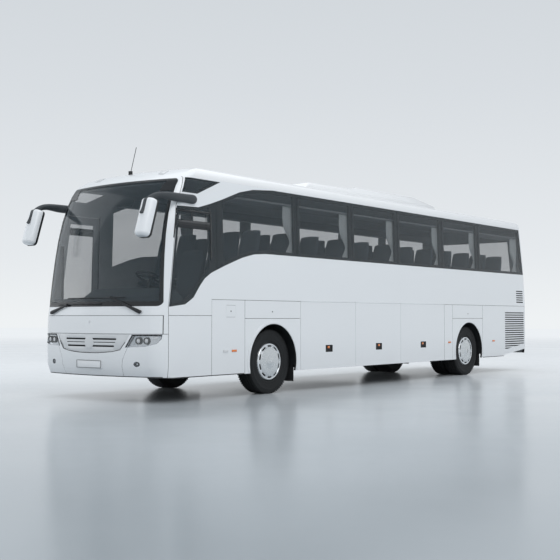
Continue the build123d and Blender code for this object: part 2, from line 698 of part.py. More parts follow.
# Luggage flaps: a plate with a hinge bead along its top and a recessed pull
PULL = (208, 120, 687, 14)               # the pull's recess: length, height, middle z and depth
for side, word in ((LEFT, "left"), (RIGHT, "right")):
    for number, (first, last) in enumerate(BAYS, 1):
        near, far = first + SEAM / 2, last - SEAM / 2
        x_in, x_bead, x_out = (side * (HALF_WIDTH - d) for d in (LEAF, HINGE_R, 0))
        with BuildPart() as flap:
            slab((min(x_in, x_out), near, SKIRT_Z), (max(x_in, x_out), far, BELT_Z - RUN))
            slab((min(x_bead, x_out), near, BELT_Z - RUN), (max(x_bead, x_out), far, BELT_Z))
            rod((x_out, near, BELT_Z), (x_out, far, BELT_Z), HINGE_R)
            middle = (first + last) / 2
            x_floor = side * (HALF_WIDTH - PULL[3])
            x_proud = side * (HALF_WIDTH + 10)
            slab((min(x_floor, x_proud), middle - PULL[0] / 2, PULL[2] - PULL[1] / 2),
                 (max(x_floor, x_proud), middle + PULL[0] / 2, PULL[2] + PULL[1] / 2), Mode.SUBTRACT)
        finish(flap.part, f"luggage_flap_{word}_{number}")


# Frame, floors and luggage space

RAIL = (450, HOUSING_X - FIT)            # inner and outer x of the chassis rails
FRONT_RAIL_Z = (620, 760)
REAR_RAIL_Z = (660, 800)
BULKHEAD = 22
CROSS = 90                               # width of the cross members
SILL_X = HALF_WIDTH - LOWER_PANEL - FIT  # outer side of the sills


def both_sides(low, high, mode=Mode.ADD):
    """A box on the left and its twin on the right."""
    slab(low, high, mode)
    slab((-high[0], low[1], low[2]), (-low[0], high[1], high[2]), mode)


FRONT_RAIL_END = BAYS[0][0] + SEAM / 2 - FIT
REAR_RAIL_START = BAYS[-1][1] - SEAM / 2 + FIT
with BuildPart() as underframe:
    both_sides((RAIL[0], -100, FRONT_RAIL_Z[0]), (RAIL[1], FRONT_RAIL_END, FRONT_RAIL_Z[1]))
    for station in (250, 1500, FRONT_AXLE - 700, FRONT_RAIL_END - CROSS):
        slab((-RAIL[0], station, FRONT_RAIL_Z[0] + 20), (RAIL[0], station + CROSS, FRONT_RAIL_Z[1] - 20))
    both_sides((RAIL[0], REAR_RAIL_START, REAR_RAIL_Z[0]), (RAIL[1], LENGTH, REAR_RAIL_Z[1]))
    for station in (REAR_RAIL_START, REAR_AXLE - 750, REAR_AXLE + 700, LENGTH - 250):
        slab((-RAIL[0], station, REAR_RAIL_Z[0] + 20), (RAIL[0], station + CROSS, REAR_RAIL_Z[1] - 20))
    add(SEAT, mode=Mode.INTERSECT)
finish(underframe.part, "underframe")

SILL_IN = 1150
CAB_BACK = 1500                          # the driver's floor ends here and the saloon floor begins
BAY_EDGE = HALF_WIDTH - LEAF - RUN       # what lies behind a flap ends here
with BuildPart() as saloon_floor:
    slab((-BAY_EDGE, CAB_BACK, FLOOR_Z - FLOOR_THICK), (BAY_EDGE, LENGTH, FLOOR_Z))
    add(SEAT, mode=Mode.INTERSECT)
    both_sides((SILL_IN, DOOR[1] + RUN, FLOOR_Z - FLOOR_THICK), (BAY_EDGE, REAR_SEAM[0][0] - 10, BELT_Z - FIT))
    for first, last in (SERVICE_PANEL, FRONT_ARCH, BATTERY_PANEL, REAR_ARCH, TAIL_PANEL):
        both_sides((SILL_IN, first + 10, FLOOR_Z - FLOOR_THICK), (SILL_X, last - 10, BELT_Z - FIT))
finish(saloon_floor.part, "saloon_floor")

with BuildPart() as luggage_bays:
    first, last = BAYS[0][0] + SEAM / 2, BAYS[-1][1] - SEAM / 2
    under = FLOOR_Z - FLOOR_THICK - FIT
    slab((-BAY_EDGE, first, BAY_FLOOR_Z - 30), (BAY_EDGE, last, BAY_FLOOR_Z))
    slab((-BAY_EDGE, first, BAY_FLOOR_Z - 30), (BAY_EDGE, first + BULKHEAD, under))
    slab((-BAY_EDGE, last - BULKHEAD, BAY_FLOOR_Z - 30), (BAY_EDGE, last, under))
    for station, _ in BAYS[1:]:
        both_sides((BAY_EDGE - 60, station - 30, BAY_FLOOR_Z - 30), (BAY_EDGE, station + 30, under))
finish(luggage_bays.part, "luggage_bays")

# Driver's floor and the stair that climbs inwards from the front door
STAIR_X = -350
STEPS = [(-1205, 380), (-900, 660), (-620, 900)]       # outer edge and top of each tread
STEP_THICK = 30
STAIR_FRONT, STAIR_BACK = 440, 1245
DRIVER_X = (330, 830)                    # the driver's seat spans these
with BuildPart() as cab_floor:
    slab((STAIR_X, 150, CAB_FLOOR_Z - STEP_THICK), (SILL_X, CAB_BACK - FIT, CAB_FLOOR_Z))
    both_sides((RAIL[0], 500, FRONT_RAIL_Z[1] + FIT), (RAIL[0] + 30, 1400, CAB_FLOOR_Z - STEP_THICK + 1))
    slab((STAIR_X, CAB_BACK - 40, CAB_FLOOR_Z - 1), (SILL_IN - FIT, CAB_BACK - FIT, FLOOR_Z))
    slab((STAIR_X, 1220, CAB_FLOOR_Z - 1), (DRIVER_X[0] - 10, CAB_BACK - 39, CAB_FLOOR_Z + 180))
    edges = [*STEPS, (STAIR_X, CAB_FLOOR_Z)]
    for (x0, z0), (x1, z1) in zip(edges, edges[1:]):
        slab((x0, STAIR_FRONT, z0 - STEP_THICK), (x1 + STEP_THICK, STAIR_BACK, z0))
        slab((x1, STAIR_FRONT, z0 - STEP_THICK), (x1 + STEP_THICK, STAIR_BACK, z1))
    slab((-SILL_X, STAIR_BACK, STEPS[0][1] - STEP_THICK), (STAIR_X + 1, STAIR_BACK + 17, FLOOR_Z - 60))
    both_sides((RAIL[0] - FIT, 0, FRONT_RAIL_Z[0] - FIT), (RAIL[1] + FIT, CAB_BACK, FRONT_RAIL_Z[1] + FIT), Mode.SUBTRACT)
    add(SEAT, mode=Mode.INTERSECT)
    slab((1150, 500, CAB_FLOOR_Z - STEP_THICK), (SILL_X, DRIVER_PANEL[1] - 10, CAB_FLOOR_Z))
finish(cab_floor.part, "cab_floor")

# Wheel housings: an arched shell over each wheel and a wall on its inner side
HOUSING_FOOT = 430
with BuildPart() as wheel_housings:
    for side in (LEFT, RIGHT):
        for axle in (FRONT_AXLE, REAR_AXLE):
            with BuildPart(mode=Mode.PRIVATE) as housing:
                rod((side * HOUSING_X, axle, TYRE_R), (side * SILL_X, axle, TYRE_R), HOUSING_R)
                rod((side * (HOUSING_X + HOUSING_WALL), axle, TYRE_R), (side * (SILL_X + 50), axle, TYRE_R),
                    HOUSING_R - HOUSING_WALL, Mode.SUBTRACT)
                slab((-SIDE_X1, axle - 900, -300), (SIDE_X1, axle + 900, HOUSING_FOOT), Mode.SUBTRACT)
                low = TYRE_R - 130 if axle == FRONT_AXLE else TYRE_R - 140
                slab((min(side * 500, side * 560), axle - 170, low - 100),
                     (max(side * 500, side * 560), axle + 170, REAR_RAIL_Z[0] - 12), Mode.SUBTRACT)
            add(housing.part)
finish(wheel_housings.part, "wheel_housings")

MUD_FLAP = (10, 167, 560)                # thickness, lower and upper edge
with BuildPart() as mud_flaps:
    for axle, x0 in ((FRONT_AXLE, 900), (REAR_AXLE, 580)):
        near = axle + HOUSING_R + FIT
        both_sides((x0, near, MUD_FLAP[1]), (1190, near + MUD_FLAP[0], MUD_FLAP[2]))
finish(mud_flaps.part, "mud_flaps")


# Axles, knuckles and wheels

KINGPIN_X = TRACK_X - KINGPIN_IN
EYE_R = 42
EYE_HALF = 60                            # half the height of the beam's end eye
EAR = 32                                 # thickness of the knuckle's ears
RUNNING = 0.05                           # radial clearance of pins and spindles
PLATE_X = (KINGPIN_X + EYE_R + 8, KINGPIN_X + EYE_R + 34)
SPINDLE_END = TRACK_X + 95
FRONT_BEAM_Z = (400, 480)
AIR_SPRING_R = 105
FRONT_SPRING_X, REAR_SPRING_X = 415, 415

with BuildPart() as front_axle:
    slab((-KINGPIN_X + 90, FRONT_AXLE - 45, FRONT_BEAM_Z[0]), (KINGPIN_X - 90, FRONT_AXLE + 45, FRONT_BEAM_Z[1]))
    for side in (LEFT, RIGHT):
        pin_x = side * KINGPIN_X
        rod((pin_x, FRONT_AXLE, TYRE_R - EYE_HALF), (pin_x, FRONT_AXLE, TYRE_R + EYE_HALF), EYE_R)
        x0, x1 = sorted((side * (KINGPIN_X - 160), pin_x))
        slab((x0, FRONT_AXLE - 35, TYRE_R - EYE_HALF), (x1, FRONT_AXLE + 35, TYRE_R + EYE_HALF - 30))
        rod((pin_x, FRONT_AXLE, TYRE_R - 200), (pin_x, FRONT_AXLE, TYRE_R + 200), KINGPIN_R + RUNNING, Mode.SUBTRACT)
        for station in (FRONT_AXLE - 230, FRONT_AXLE + 230):
            rod((side * FRONT_SPRING_X, station, FRONT_BEAM_Z[0] + 10), (side * FRONT_SPRING_X, station,
                FRONT_RAIL_Z[0] - FIT), AIR_SPRING_R)
        x0, x1 = sorted((side * 370, side * 460))
        slab((x0, FRONT_AXLE - 240, FRONT_BEAM_Z[0]), (x1, FRONT_AXLE + 240, FRONT_BEAM_Z[0] + 40))
finish(front_axle.part, "front_axle")

AXLE_TUBE_R = 85
REAR_SPINDLE_R = 50
HUB_R = 140
with BuildPart() as rear_axle:
    rod((-REAR_SPRING_X - 160, REAR_AXLE, TYRE_R), (REAR_SPRING_X + 160, REAR_AXLE, TYRE_R), AXLE_TUBE_R)
    rod((-SPINDLE_END, REAR_AXLE, TYRE_R), (SPINDLE_END, REAR_AXLE, TYRE_R), REAR_SPINDLE_R)
    with Locations((0, y_at(REAR_AXLE), TYRE_R)):
        Sphere(215)
    for side in (LEFT, RIGHT):
        x0, x1 = sorted((side * 375, side * 455))
        slab((x0, REAR_AXLE - 330, TYRE_R - 120), (x1, REAR_AXLE + 330, TYRE_R - 60))
        for station in (REAR_AXLE - 330, REAR_AXLE + 330):
            rod((side * REAR_SPRING_X, station, TYRE_R - 120), (side * REAR_SPRING_X, station, REAR_RAIL_Z[0] - FIT),
                AIR_SPRING_R)
finish(rear_axle.part, "rear_axle")

for side, word in ((LEFT, "left"), (RIGHT, "right")):
    pin_x = side * KINGPIN_X
    with BuildPart() as knuckle:
        for low in (TYRE_R + EYE_HALF + RUN, TYRE_R - EYE_HALF - RUN - EAR):
            rod((pin_x, FRONT_AXLE, low), (pin_x, FRONT_AXLE, low + EAR), EYE_R)
            x0, x1 = sorted((pin_x, side * PLATE_X[1]))
            slab((x0, FRONT_AXLE - EYE_R, low), (x1, FRONT_AXLE + EYE_R, low + EAR))
        reach = EYE_HALF + RUN + EAR
        rod((pin_x, FRONT_AXLE, TYRE_R - reach), (pin_x, FRONT_AXLE, TYRE_R + reach), KINGPIN_R)
        x0, x1 = sorted((side * PLATE_X[0], side * PLATE_X[1]))
        slab((x0, FRONT_AXLE - EYE_R, TYRE_R - reach), (x1, FRONT_AXLE + EYE_R, TYRE_R + reach))
        rod((side * PLATE_X[0], FRONT_AXLE, TYRE_R), (side * SPINDLE_END, FRONT_AXLE, TYRE_R), SPINDLE_R)
    finish(knuckle.part, f"front_knuckle_{word}")

# Half sections of the turned pieces: radius from the axle, and distance outwards from the tyre's middle
RIM_WALL = 22
FLANGE_R = 298
CAP_R = 290
FRONT_WHEEL = [
    (SPINDLE_R + RUNNING, -6), (105, -6), (105, 58), (RIM_R - RIM_WALL, 58), (RIM_R - RIM_WALL, -112),
    (FLANGE_R, -RIM_HALF), (FLANGE_R, -112), (RIM_R, -104), (RIM_R, 104), (FLANGE_R, 112), (FLANGE_R, RIM_HALF),
    (CAP_R, 124), (240, 139), (0, 149), (0, 142), (236, 131), (RIM_R - RIM_WALL, 120),
    (RIM_R - RIM_WALL, 74), (105, 74), (105, 100), (SPINDLE_R + RUNNING, 100),
]
CAP_SLOTS = 12
CAP_SLOT = (205, 16, 44)                 # distance from the centre, width and length of each slot
REAR_HUB = [
    (REAR_SPINDLE_R + RUNNING, -430), (HUB_R, -430), (HUB_R, -248), (RIM_R - RIM_WALL, -248),
    (RIM_R - RIM_WALL, -112 - TWIN_GAP), (FLANGE_R, -RIM_HALF - TWIN_GAP), (FLANGE_R, -112 - TWIN_GAP),
    (RIM_R, -104 - TWIN_GAP), (RIM_R, 104 - TWIN_GAP), (FLANGE_R, 112 - TWIN_GAP), (FLANGE_R, RIM_HALF - TWIN_GAP),
    (RIM_R - RIM_WALL, 112 - TWIN_GAP), (RIM_R - RIM_WALL, -230), (HUB_R, -230), (HUB_R, 58), (RIM_R - RIM_WALL, 58),
    *FRONT_WHEEL[4:18], (HUB_R, 74), (HUB_R, 100), (REAR_SPINDLE_R + RUNNING, 100),
]
TYRE_BORE = 0.3                          # the tyre's bore stands off its rim by this much
TYRE = [
    (RIM_R + TYRE_BORE, -103), (RIM_R + TYRE_BORE, 103), (FLANGE_R + 0.5, 111), (FLANGE_R + 0.5, 122), (335, 139),
    (400, TYRE_W / 2), (455, TYRE_W / 2 - 2), (492, 137), (TYRE_R, 120), (TYRE_R, -120), (492, -137),
    (455, 2 - TYRE_W / 2), (400, -TYRE_W / 2), (335, -139), (FLANGE_R + 0.5, -122), (FLANGE_R + 0.5, -111),
]


def turned(section, side, axle, offset_x):
    """A piece turned about an axle line from its half section."""
    plane = Plane(origin=(side * offset_x, y_at(axle), TYRE_R), x_dir=(0, 0, 1), z_dir=(0, side, 0))
    with BuildSketch(plane) as face:
        with BuildLine():
            Polyline(*section, close=True)
        make_face()
    revolve(face.sketch, axis=Axis(plane.origin, (1, 0, 0)))


for side, word in ((LEFT, "left"), (RIGHT, "right")):
    for axle, name, section in ((FRONT_AXLE, "front_wheel", FRONT_WHEEL), (REAR_AXLE, "drive_wheels", REAR_HUB)):
        with BuildPart() as wheel:
            turned(section, side, axle, TRACK_X)
            cap = Plane(origin=(side * (TRACK_X + 160), y_at(axle), TYRE_R), x_dir=(0, 1, 0), z_dir=(side, 0, 0))
            with BuildSketch(cap) as holes:
                with PolarLocations(CAP_SLOT[0], CAP_SLOTS):
                    Rectangle(CAP_SLOT[2], CAP_SLOT[1])
            extrude(holes.sketch, amount=50, dir=(-side, 0, 0), mode=Mode.SUBTRACT)
        finish(wheel.part, f"{name}_{word}")
    with BuildPart() as tyre:
        turned(TYRE, side, FRONT_AXLE, TRACK_X)
    finish(tyre.part, f"front_tyre_{word}")
    with BuildPart() as tyres:
        turned(TYRE, side, REAR_AXLE, TRACK_X)
        turned(TYRE, side, REAR_AXLE, TRACK_X - TWIN_GAP)
    finish(tyres.part, f"drive_tyres_{word}")

# Engine: one block across the tail, on four lugs
ENGINE = ((-395, 10350, 480), (395, 11900, 1250))
with BuildPart() as engine:
    slab(*ENGINE)
    for station in (10600, 11550):
        slab((-RAIL[0] + FIT, station, 690), (RAIL[0] - FIT, station + 120, 770))
finish(engine.part, "engine")


# Front door: a turning post with two arms, and a leaf that the arms carry

ARM_REACH = 480
ARM_Z = [520, 1010]                      # middle height of each arm
ARM_HALF = 10
PIN_R = 10
LUG = 14
with BuildPart() as front_door_arm:
    rod((*DOOR_POST, STEPS[0][1] + FIT), (*DOOR_POST, DOOR_POST_TOP), DOOR_POST_R)
    for z in ARM_Z:
        slab((DOOR_POST[0] - 18, DOOR_POST[1], z - ARM_HALF), (DOOR_POST[0] + 18, DOOR_POST[1] + ARM_REACH, z + ARM_HALF))
        rod((DOOR_POST[0], DOOR_POST[1] + ARM_REACH, z - ARM_HALF), (DOOR_POST[0], DOOR_POST[1] + ARM_REACH,
            z + ARM_HALF), 18)
        rod((DOOR_POST[0], DOOR_POST[1] + ARM_REACH, z), (DOOR_POST[0], DOOR_POST[1] + ARM_REACH,
            z + ARM_HALF + LUG + 4), PIN_R)
finish(front_door_arm.part, "front_door_arm")

DOOR_LEAF = [(DOOR[0], SKIRT_Z + 6), (DOOR[0], 1366), (562, 2822), (562, DOOR_TOP), (DOOR[1], DOOR_TOP),
             (DOOR[1], SKIRT_Z + 6)]
DOOR_GLASS = [(430, 1060), (474, 1380), (632, 2745), (1190, 2745), (1190, 1060)]


def door_plate(points, margin, mode):
    with BuildSketch(side_plane(-SIDE_X1)) as face:
        with BuildLine():
            Polyline(*points, close=True)
        make_face()
        if margin:
            offset(amount=-margin, kind=Kind.INTERSECTION)
    extrude(face.sketch, amount=SIDE_X1 - SIDE_X0, dir=(1, 0, 0), mode=mode)


with BuildPart() as door_rebate:
    add(SKIN)
    door_plate(DOOR_GLASS, 0, Mode.INTERSECT)
with BuildPart() as front_door:
    add(LEAF_SHELL)
    side_plate(DOOR_LEAF, -SIDE_X1, -SIDE_X0, Mode.INTERSECT)
    add(door_rebate.part, mode=Mode.SUBTRACT)
    door_plate(DOOR_GLASS, 40, Mode.SUBTRACT)
    pin_y = DOOR_POST[1] + ARM_REACH
    for z in ARM_Z:
        low = z + ARM_HALF + 1
        depth = half_width_at(z) - LEAF + 8
        slab((-depth, pin_y - 22, low), (DOOR_POST[0] + 22, pin_y + 22, low + LUG))
        rod((DOOR_POST[0], pin_y, low - 5), (DOOR_POST[0], pin_y, low + LUG + 5), PIN_R + RUNNING, Mode.SUBTRACT)
finish(front_door.part, "front_door")
with BuildPart() as front_door_glass:
    add(PANE)
    door_plate(DOOR_GLASS, FIT, Mode.INTERSECT)
finish(front_door_glass.part, "front_door_glass")


# Inside the cabin

ROWS = 12
ROW_FIRST, ROW_PITCH = 2020, 795
SEAT_X = (265, 1135)                     # a double seat spans these
DRIVER_STATION = 1000
CUSHION = [(0, 300), (450, 340), (450, 440), (0, 440)]        # side view above the floor at the seat's front
BACKREST = [(380, 440 + FIT), (450, 440 + FIT), (640, 1190), (560, 1215), (520, 1180)]


def seats(section, x_list, low_z):
    """One solid from its side view at every seat place."""
    for row in range(ROWS):
        front = ROW_FIRST + row * ROW_PITCH
        for x0, x1 in x_list:
            side_plate([(front + s, FLOOR_Z + z) for s, z in section], x0, x1)
    side_plate([(DRIVER_STATION + s, low_z + z) for s, z in section], *DRIVER_X)


PAIRS = [SEAT_X, (-SEAT_X[1], -SEAT_X[0])]
with BuildPart() as seat_cushions:
    seats(CUSHION, PAIRS, CAB_FLOOR_Z)
finish(seat_cushions.part, "seat_cushions")
with BuildPart() as seat_backs:
    seats(BACKREST, PAIRS, CAB_FLOOR_Z)
finish(seat_backs.part, "seat_backs")
with BuildPart() as seat_frames:
    frame_section = [(60, FIT), (400, FIT), (400, 335), (60, 305)]
    inner_pairs = [(x0 + 150, x1 - 150) for x0, x1 in PAIRS]
    seats(frame_section, inner_pairs, CAB_FLOOR_Z)
finish(seat_frames.part, "seat_frames")

RACK = [(1300, 3060), (1300, 3090), (860, 3060), (810, 3150), (780, 3145), (838, 3020)]
with BuildPart() as luggage_racks:
    for side in (LEFT, RIGHT):
        front_plate([(side * x, z) for x, z in RACK], 1650, 11950)
    add(SEAT, mode=Mode.INTERSECT)
finish(luggage_racks.part, "luggage_racks")

DASH = [(-200, CAB_FLOOR_Z + FIT), (640, CAB_FLOOR_Z + FIT), (600, 1380), (690, 1500), (560, 1600), (420, 1640),
        (150, 1480), (-200, 1480)]
with BuildPart() as dashboard:
    side_plate(DASH, STAIR_X, 1225)
    side_plate([(-200, CAB_FLOOR_Z - 200), (400, CAB_FLOOR_Z - 200), (400, 1500), (-200, 1480)], -1085, STAIR_X + 1)
    add(SEAT, mode=Mode.INTERSECT)
    slab((STAIR_X, 140, CAB_FLOOR_Z - 60), (1300, 700, CAB_FLOOR_Z + FIT), Mode.SUBTRACT)
finish(dashboard.part, "dashboard")

WHEEL_MID = (570, 700, 1800)
COLUMN_FOOT = (570, 600, 1560)
with BuildPart() as steering_wheel:
    tilt = Vector(0, WHEEL_MID[1] - COLUMN_FOOT[1], WHEEL_MID[2] - COLUMN_FOOT[2])
    wheel_plane = Plane(origin=(WHEEL_MID[0], y_at(WHEEL_MID[1]), WHEEL_MID[2]), x_dir=(1, 0, 0), z_dir=tilt)
    section_plane = Plane(origin=wheel_plane.origin, x_dir=wheel_plane.x_dir, z_dir=wheel_plane.y_dir)
    with BuildSketch(section_plane) as grip:
        with Locations((225, 0)):
            RegularPolygon(15, 8)
    revolve(grip.sketch, axis=Axis(wheel_plane.origin, wheel_plane.z_dir))
    with BuildSketch(wheel_plane) as spokes:
        with PolarLocations(112, 3, start_angle=90):
            Rectangle(224, 30)
        Circle(55)
    extrude(spokes.sketch, amount=14, dir=wheel_plane.z_dir)
    rod(COLUMN_FOOT, WHEEL_MID, 32)
    add(dashboard.part, mode=Mode.SUBTRACT)
finish(steering_wheel.part, "steering_wheel")


# Fittings outside

# Sections of the mirror's arm: x, station and z of the middle, half height, half depth, and how far it points down
MIRROR_ARM = [
    (1250, 935, 2938, 40, 26, 0),
    (1256, 895, 2935, 62, 36, 0),
    (1258, 750, 2935, 64, 40, 0),
    (1258, 600, 2935, 64, 40, 0),
    (1257, 440, 2936, 62, 40, 0),
    (1244, 250, 2938, 50, 38, 8),
    (1232, 70, 2900, 42, 36, 38),
    (1232, -60, 2795, 37, 33, 58),
    (1232, -148, 2655, 27, 25, 62),
]
MIRROR_FOOT = (1232, -105, 2330)         # x, station and z of the head's lower end
MIRROR_HEAD = (244, 250, 95, 560)        # width, full depth, corner radius and length
MIRROR_FACE = 60                         # distance from the head's middle back to its mirror
MIRROR_LEAN = 17                         # the head leans forward at its foot by this angle
lean = math.radians(MIRROR_LEAN)
head_plane = Plane(origin=(MIRROR_FOOT[0], y_at(MIRROR_FOOT[1]), MIRROR_FOOT[2]), x_dir=(1, 0, 0),
                   z_dir=(0, math.sin(lean), math.cos(lean)))
with BuildPart() as mirror_head:
    with BuildSketch(head_plane) as outline:
        with Locations((0, MIRROR_HEAD[1] / 2 - MIRROR_HEAD[2])):
            RectangleRounded(MIRROR_HEAD[0], MIRROR_HEAD[1], MIRROR_HEAD[2])
    extrude(outline.sketch, amount=MIRROR_HEAD[3], dir=head_plane.z_dir)
    ends = mirror_head.faces().sort_by(Axis(head_plane.origin, head_plane.z_dir))
    fillet(ends[0].edges() + ends[-1].edges(), 58)
    with BuildSketch(head_plane.offset(-100)) as behind:
        with Locations((0, MIRROR_FACE + 200)):
            Rectangle(400, 400)
    extrude(behind.sketch, amount=MIRROR_HEAD[3] + 200, dir=head_plane.z_dir, mode=Mode.SUBTRACT)

with BuildPart() as mirrors:
    for x, station, z, half_height, half_depth, down in MIRROR_ARM:
        turn = math.radians(down)
        ahead = Vector(0, -math.cos(turn), -math.sin(turn))
        with BuildSketch(Plane(origin=(x, y_at(station), z), x_dir=(1, 0, 0), z_dir=ahead)):
            Ellipse(half_depth, half_height)
    loft()
    reach = y_at(-MIRROR_REACH) - mirror_head.part.bounding_box().min.Y
    add(Pos(0, reach, 0) * mirror_head.part)
    add(PROUD, mode=Mode.SUBTRACT)
    mirror(about=Plane.YZ)
finish(mirrors.part, "mirrors")

# Wipers: pivot, end of the arm and the two ends of the blade, each as (x, z)
WIPERS = [
    ((934, 1297), (409, 1504), (-560, 1498), (666, 1502)),
    ((-978, 1290), (-558, 1404), (-827, 1406), (207, 1414)),
]
WIPER_ARM_R = 13
BLADE_R = 8
BLADE_PARTS = 6


def screen_station(x, z):
    """Station of the body's outer surface at a place on the front."""
    half = half_width_at(z)
    corner = 250
    start, depth, _, cosine = bow_and_corner(half, corner)
    if abs(x) < start:
        return front_at(z) + BOW_R - math.sqrt(BOW_R**2 - x**2)
    return front_at(z) + depth + corner * cosine - math.sqrt(max(0, corner**2 - (abs(x) - half + corner)**2))


with BuildPart() as wipers:
    for pivot, arm_end, blade_a, blade_b in WIPERS:
        points = []
        for x, z in (pivot, arm_end):
            points.append((x, screen_station(x, z) - 30, z))
        blade = []
        for share in range(BLADE_PARTS + 1):
            x, z = (a + (b - a) * share / BLADE_PARTS for a, b in zip(blade_a, blade_b))
            blade.append((x, screen_station(x, z) - 14, z))
        root = screen_station(*pivot)
        with BuildPart(mode=Mode.PRIVATE) as stub:
            rod((pivot[0], root - 40, pivot[1]), (pivot[0], root + 30, pivot[1]), 20)
            add(PROUD, mode=Mode.SUBTRACT)
        with BuildPart(mode=Mode.PRIVATE) as wiper:
            add(stub.part)
            rod(points[0], points[1], WIPER_ARM_R)
            slab((points[1][0] - 16, points[1][1] - 11, points[1][2] - 18), (points[1][0] + 16, points[1][1] + 11,
                 points[1][2] + 18))
            for near, far in zip(blade, blade[1:]):
                rod(near, far, BLADE_R)
        add(wiper.part)
finish(wipers.part, "wipers")

# Small lamps: side markers as (station, z), one more on each front corner of the roof
MARKERS = [(1573, 711), (1772, 711), (8557, 709), (10576, 704)]
ROOF_MARKER = (640, 750, 770, 880)       # inner and outer x, front and rear station
MARKER_PROUD = 9
with BuildPart() as marker_lamps:
    for station, z in MARKERS:
        both_sides((HALF_WIDTH + FIT, station - 55, z - 17), (HALF_WIDTH + MARKER_PROUD, station + 55, z + 17))
    x0, x1, s0, s1 = ROOF_MARKER
    with BuildPart(mode=Mode.PRIVATE) as roof_markers:
        add(body_form(-MARKER_PROUD))
        with BuildPart(mode=Mode.PRIVATE) as places:
            both_sides((x0, s0, CANT_Z), (x1, s1, TOP_Z))
        add(places.part, mode=Mode.INTERSECT)
        add(PROUD, mode=Mode.SUBTRACT)
    add(roof_markers.part)
finish(marker_lamps.part, "marker_lamps")

AERIAL = ((-95, 905), 3437, 3860)        # x and station of its foot, lower and upper end
with BuildPart() as aerial:
    rod((*AERIAL[0], AERIAL[1] - 40), (*AERIAL[0], AERIAL[1] + 35), 32)
    rod((*AERIAL[0], AERIAL[1]), (AERIAL[0][0], AERIAL[0][1] + 120, AERIAL[2]), 5)
    add(PROUD, mode=Mode.SUBTRACT)
finish(aerial.part, "aerial")
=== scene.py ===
"""The looks of a two-axle touring coach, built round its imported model.

Metres. +Z is up, the coach faces -Y, and its left side is +X. Lengths along the coach are stations: distances
back from the front bumper's face.
"""
import json
from math import acos, asin, atan2, copysign, cos, exp, hypot, pi, radians, sin, sqrt, tan

import bmesh
import bpy
from mathutils import Matrix, Vector

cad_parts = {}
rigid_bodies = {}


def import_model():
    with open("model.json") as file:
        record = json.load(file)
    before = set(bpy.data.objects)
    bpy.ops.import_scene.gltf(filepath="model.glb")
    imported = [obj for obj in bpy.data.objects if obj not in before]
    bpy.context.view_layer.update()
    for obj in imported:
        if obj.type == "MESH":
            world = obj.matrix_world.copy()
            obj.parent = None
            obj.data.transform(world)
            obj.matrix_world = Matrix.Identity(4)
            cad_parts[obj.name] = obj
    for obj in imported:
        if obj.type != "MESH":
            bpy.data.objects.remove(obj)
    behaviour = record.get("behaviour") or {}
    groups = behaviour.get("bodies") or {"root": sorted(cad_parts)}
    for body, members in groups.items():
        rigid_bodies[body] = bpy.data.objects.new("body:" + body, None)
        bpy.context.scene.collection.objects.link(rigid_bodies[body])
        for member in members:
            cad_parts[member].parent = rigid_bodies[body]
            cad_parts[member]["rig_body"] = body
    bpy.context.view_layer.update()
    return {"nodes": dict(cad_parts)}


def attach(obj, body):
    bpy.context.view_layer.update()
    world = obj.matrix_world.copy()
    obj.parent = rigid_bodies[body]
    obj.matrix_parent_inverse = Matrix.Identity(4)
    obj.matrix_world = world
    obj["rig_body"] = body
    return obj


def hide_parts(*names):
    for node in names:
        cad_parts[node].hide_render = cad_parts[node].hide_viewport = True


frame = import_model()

bl_info = {
    "name": "Touring coach",
    "version": (1, 0, 0),
    "blender": (4, 5, 0),
    "location": "View3D > Sidebar > Coach",
    "description": "Builds the finished surfaces, glazing, seats and fittings of a touring coach",
    "category": "Add Mesh",
}

# Driving dimensions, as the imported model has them
LENGTH = 12.330
HALF_WIDTH = 1.275
MID = 6.063                   # station of the origin
BELT_Z = 1.485
CANT_Z = 3.270
TUMBLEHOME = 0.050
ROOF_CORNER_R = 0.175
BOW_R = 4.2
WALL = 0.050
GLASS = 0.012
FLOOR_Z = 1.420
CAB_FLOOR_Z = 1.060
FRONT_AXLE = 2.740
REAR_AXLE = 9.420
TYRE_R = 0.512
TYRE_W = 0.295
RIM_R = 0.286
TRACK_X = 1.0525
TWIN_GAP = 0.330
ROW_FIRST = 2.020
ROW_PITCH = 0.795
ROWS = 12
DRIVER_STATION = 1.000
LEFT, RIGHT = 1, -1
SIDES = ((LEFT, "left"), (RIGHT, "right"))

# The body in plan by height: height, foremost station, rearmost station and the front corners' radius
LEVELS = [
    (0.300, 0.130, 12.240, 0.250), (0.390, 0.062, 12.275, 0.265), (0.520, 0.010, 12.318, 0.280),
    (0.800, 0.000, 12.330, 0.280), (1.240, 0.018, 12.330, 0.265), (1.370, 0.047, 12.330, 0.250),
    (1.485, 0.060, 12.330, 0.247), (1.760, 0.093, 12.330, 0.240), (2.100, 0.143, 12.312, 0.228),
    (2.400, 0.200, 12.290, 0.215), (2.700, 0.280, 12.256, 0.200), (2.950, 0.375, 12.218, 0.190),
    (3.120, 0.465, 12.188, 0.180), (3.250, 0.560, 12.160, 0.172), (3.390, 0.800, 12.110, 0.172),
    (3.450, 1.000, 12.050, 0.172), (3.560, 1.900, 11.700, 0.172),
]
FRONT, BACK, CORNER = 1, 2, 3     # columns of LEVELS
REAR_CORNER_R = 0.130
ROOF_CORNER = (1.050, 3.270)      # middle of the round between wall and roof
CROWN_R = 8.2
PILLARS = [(1.242, 1.557), (3.325, 3.490), (4.960, 5.120), (6.504, 6.686), (8.231, 8.420), (9.845, 10.035)]
WINDSCREEN = (1.374, 3.244, 1.235, 1.132, 0.070)   # lower and upper edge, half width there, corner radius
EDGE = 0.0012                     # round of a panel's edge, and how far a thin strip stands proud
STRIP_STEP = 0.02
FINISH = {}                       # materials by short name, filled by make_materials


def y_at(station):
    """Y of a station."""
    return station - MID


